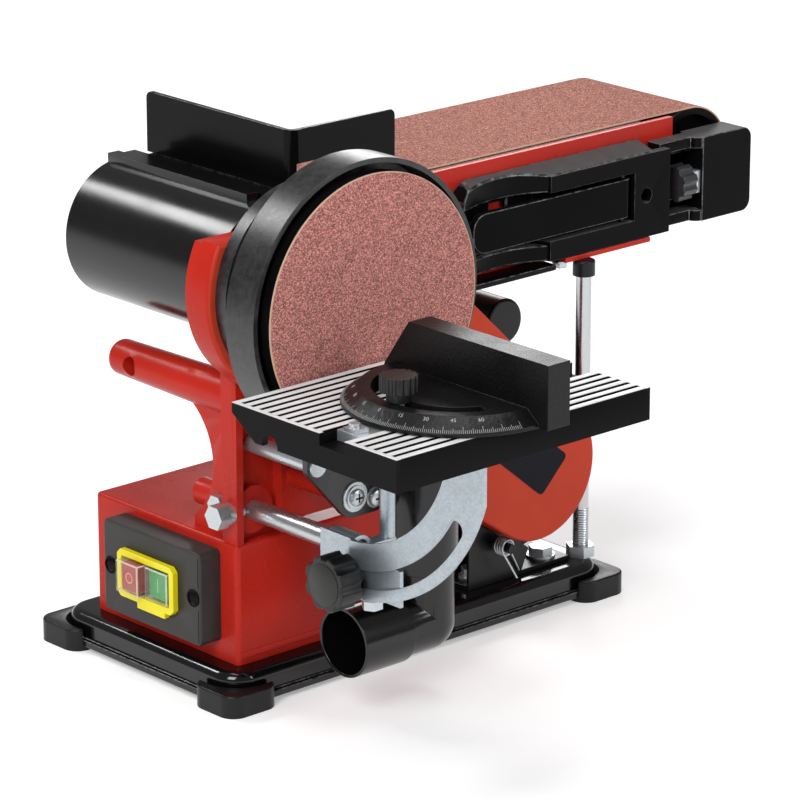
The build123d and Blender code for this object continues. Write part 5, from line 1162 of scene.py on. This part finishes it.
class SANDER_OT_stage(bpy.types.Operator):
    """Set up the floor, the studio light and the camera"""

    bl_idname = "sander.stage"
    bl_label = "Stage"

    # Here only EYE and SENSOR are in millimetres, and the rest is in metres and watts

    LAMPS = (
        ("key", (-2.0, -0.9, 1.5), (1.0, 1.2), 40.0),
        ("fill", (0.9, -2.3, 1.3), (0.9, 1.1), 24.0),
        ("top", (0.0, 0.0, 2.2), (1.2, 0.8), 16.0),
        ("strip", (-0.75, 1.7, 1.7), (0.7, 0.4), 14.0),
        ("rim", (1.5, 1.6, 1.1), (0.4, 1.4), 10.0),
    )
    LAMP_AIM = (0.0, 0.0, 0.15)
    EYE = (-1511.3, -1691.4, 677.7)
    LOOK = (0.6385, 0.7059, -0.3069)
    SENSOR = 36.0
    CLIP_END = 50.0
    FLOOR_HALF = 8.0
    FLOOR_COLOUR = (0.86, 0.86, 0.86, 1.0)
    FLOOR_GLOW = (0.3, 0.3, 0.3, 1.0)
    WORLD_COLOUR = (1.0, 1.0, 1.0, 1.0)
    WORLD_LIGHT = 0.25

    def execute(self, context):
        scene = context.scene
        scene.view_settings.view_transform = "Standard"
        self.floor(scene)
        self.world(scene)
        for name, place, size, power in self.LAMPS:
            self.lamp(scene, name, place, size, power)
        self.camera(scene, scene.sander_sizes.lens)
        return {"FINISHED"}

    def camera(self, scene, lens):
        """The camera at the photograph's place."""
        camera = bpy.data.objects.new("camera", bpy.data.cameras.new("camera"))
        camera.data.lens = lens
        camera.data.sensor_fit = "HORIZONTAL"
        camera.data.sensor_width = self.SENSOR
        camera.data.clip_end = self.CLIP_END
        camera.location = spot(*self.EYE)
        camera.rotation_euler = Vector(self.LOOK).to_track_quat("-Z", "Y").to_euler()
        scene.collection.objects.link(camera)
        scene.camera = camera

    def floor(self, scene):
        """A pale floor that keeps the shadow, and glows to white where it is seen or mirrored."""
        bm = bmesh.new()
        bmesh.ops.create_grid(bm, x_segments=1, y_segments=1, size=self.FLOOR_HALF)
        mesh = bpy.data.meshes.new("floor")
        bm.to_mesh(mesh)
        bm.free()
        g = Graph("studio_floor")
        rays = ("Is Camera Ray", "Is Glossy Ray", "Is Transmission Ray")
        camera, glossy, through = (g.node("ShaderNodeLightPath", out=ray) for ray in rays)
        seen = camera.math("MAXIMUM", glossy).math("MAXIMUM", through)
        g.surface(
            Base_Color=self.FLOOR_COLOUR,
            Roughness=0.8,
            Specular_IOR_Level=0.1,
            Emission_Color=g.mix(seen, (0, 0, 0, 1), self.FLOOR_GLOW),
            Emission_Strength=1.0,
        )
        mesh.materials.append(g.material)
        floor = bpy.data.objects.new("floor", mesh)
        scene.collection.objects.link(floor)

    def world(self, scene):
        """A plain pale surround, the same to every ray. The white behind the object is the floor's."""
        world = bpy.data.worlds.new("studio")
        world.use_nodes = True
        scene.world = world
        background = world.node_tree.nodes["Background"]
        background.inputs["Color"].default_value = self.WORLD_COLOUR
        background.inputs["Strength"].default_value = self.WORLD_LIGHT

    def lamp(self, scene, name, place, size, power):
        """A soft box that looks at the middle of the object."""
        data = bpy.data.lights.new(name, "AREA")
        data.shape = "RECTANGLE"
        data.size, data.size_y = size
        data.energy = power
        lamp = bpy.data.objects.new(name, data)
        lamp.location = place
        aim = Vector(self.LAMP_AIM) - Vector(place)
        lamp.rotation_euler = aim.to_track_quat("-Z", "Y").to_euler()
        scene.collection.objects.link(lamp)


class SANDER_PT_pieces(bpy.types.Panel):
    """Shows a button for each of the sander's operators"""

    bl_idname = "SANDER_PT_pieces"
    bl_label = "Sander"
    bl_space_type = "VIEW_3D"
    bl_region_type = "UI"
    bl_category = "Sander"

    def draw(self, context):
        for operator in OPERATORS:
            self.layout.operator(operator.bl_idname)


OPERATORS = (
    SANDER_OT_stand,
    SANDER_OT_drive,
    SANDER_OT_switch,
    SANDER_OT_disc,
    SANDER_OT_table,
    SANDER_OT_mitre,
    SANDER_OT_arm,
    SANDER_OT_stage,
)
CLASSES = (SanderSizes, SanderFinishes) + OPERATORS + (SANDER_PT_pieces,)


def register():
    for cls in CLASSES:
        bpy.utils.register_class(cls)
    bpy.types.Scene.sander_sizes = PointerProperty(type=SanderSizes)
    bpy.types.Scene.sander_finishes = PointerProperty(type=SanderFinishes)


def unregister():
    del bpy.types.Scene.sander_finishes
    del bpy.types.Scene.sander_sizes
    for cls in reversed(CLASSES):
        bpy.utils.unregister_class(cls)


def main():
    register()
    for operator in OPERATORS:
        group, name = operator.bl_idname.split(".")
        getattr(getattr(bpy.ops, group), name)()


if __name__ == "__main__":
    main()
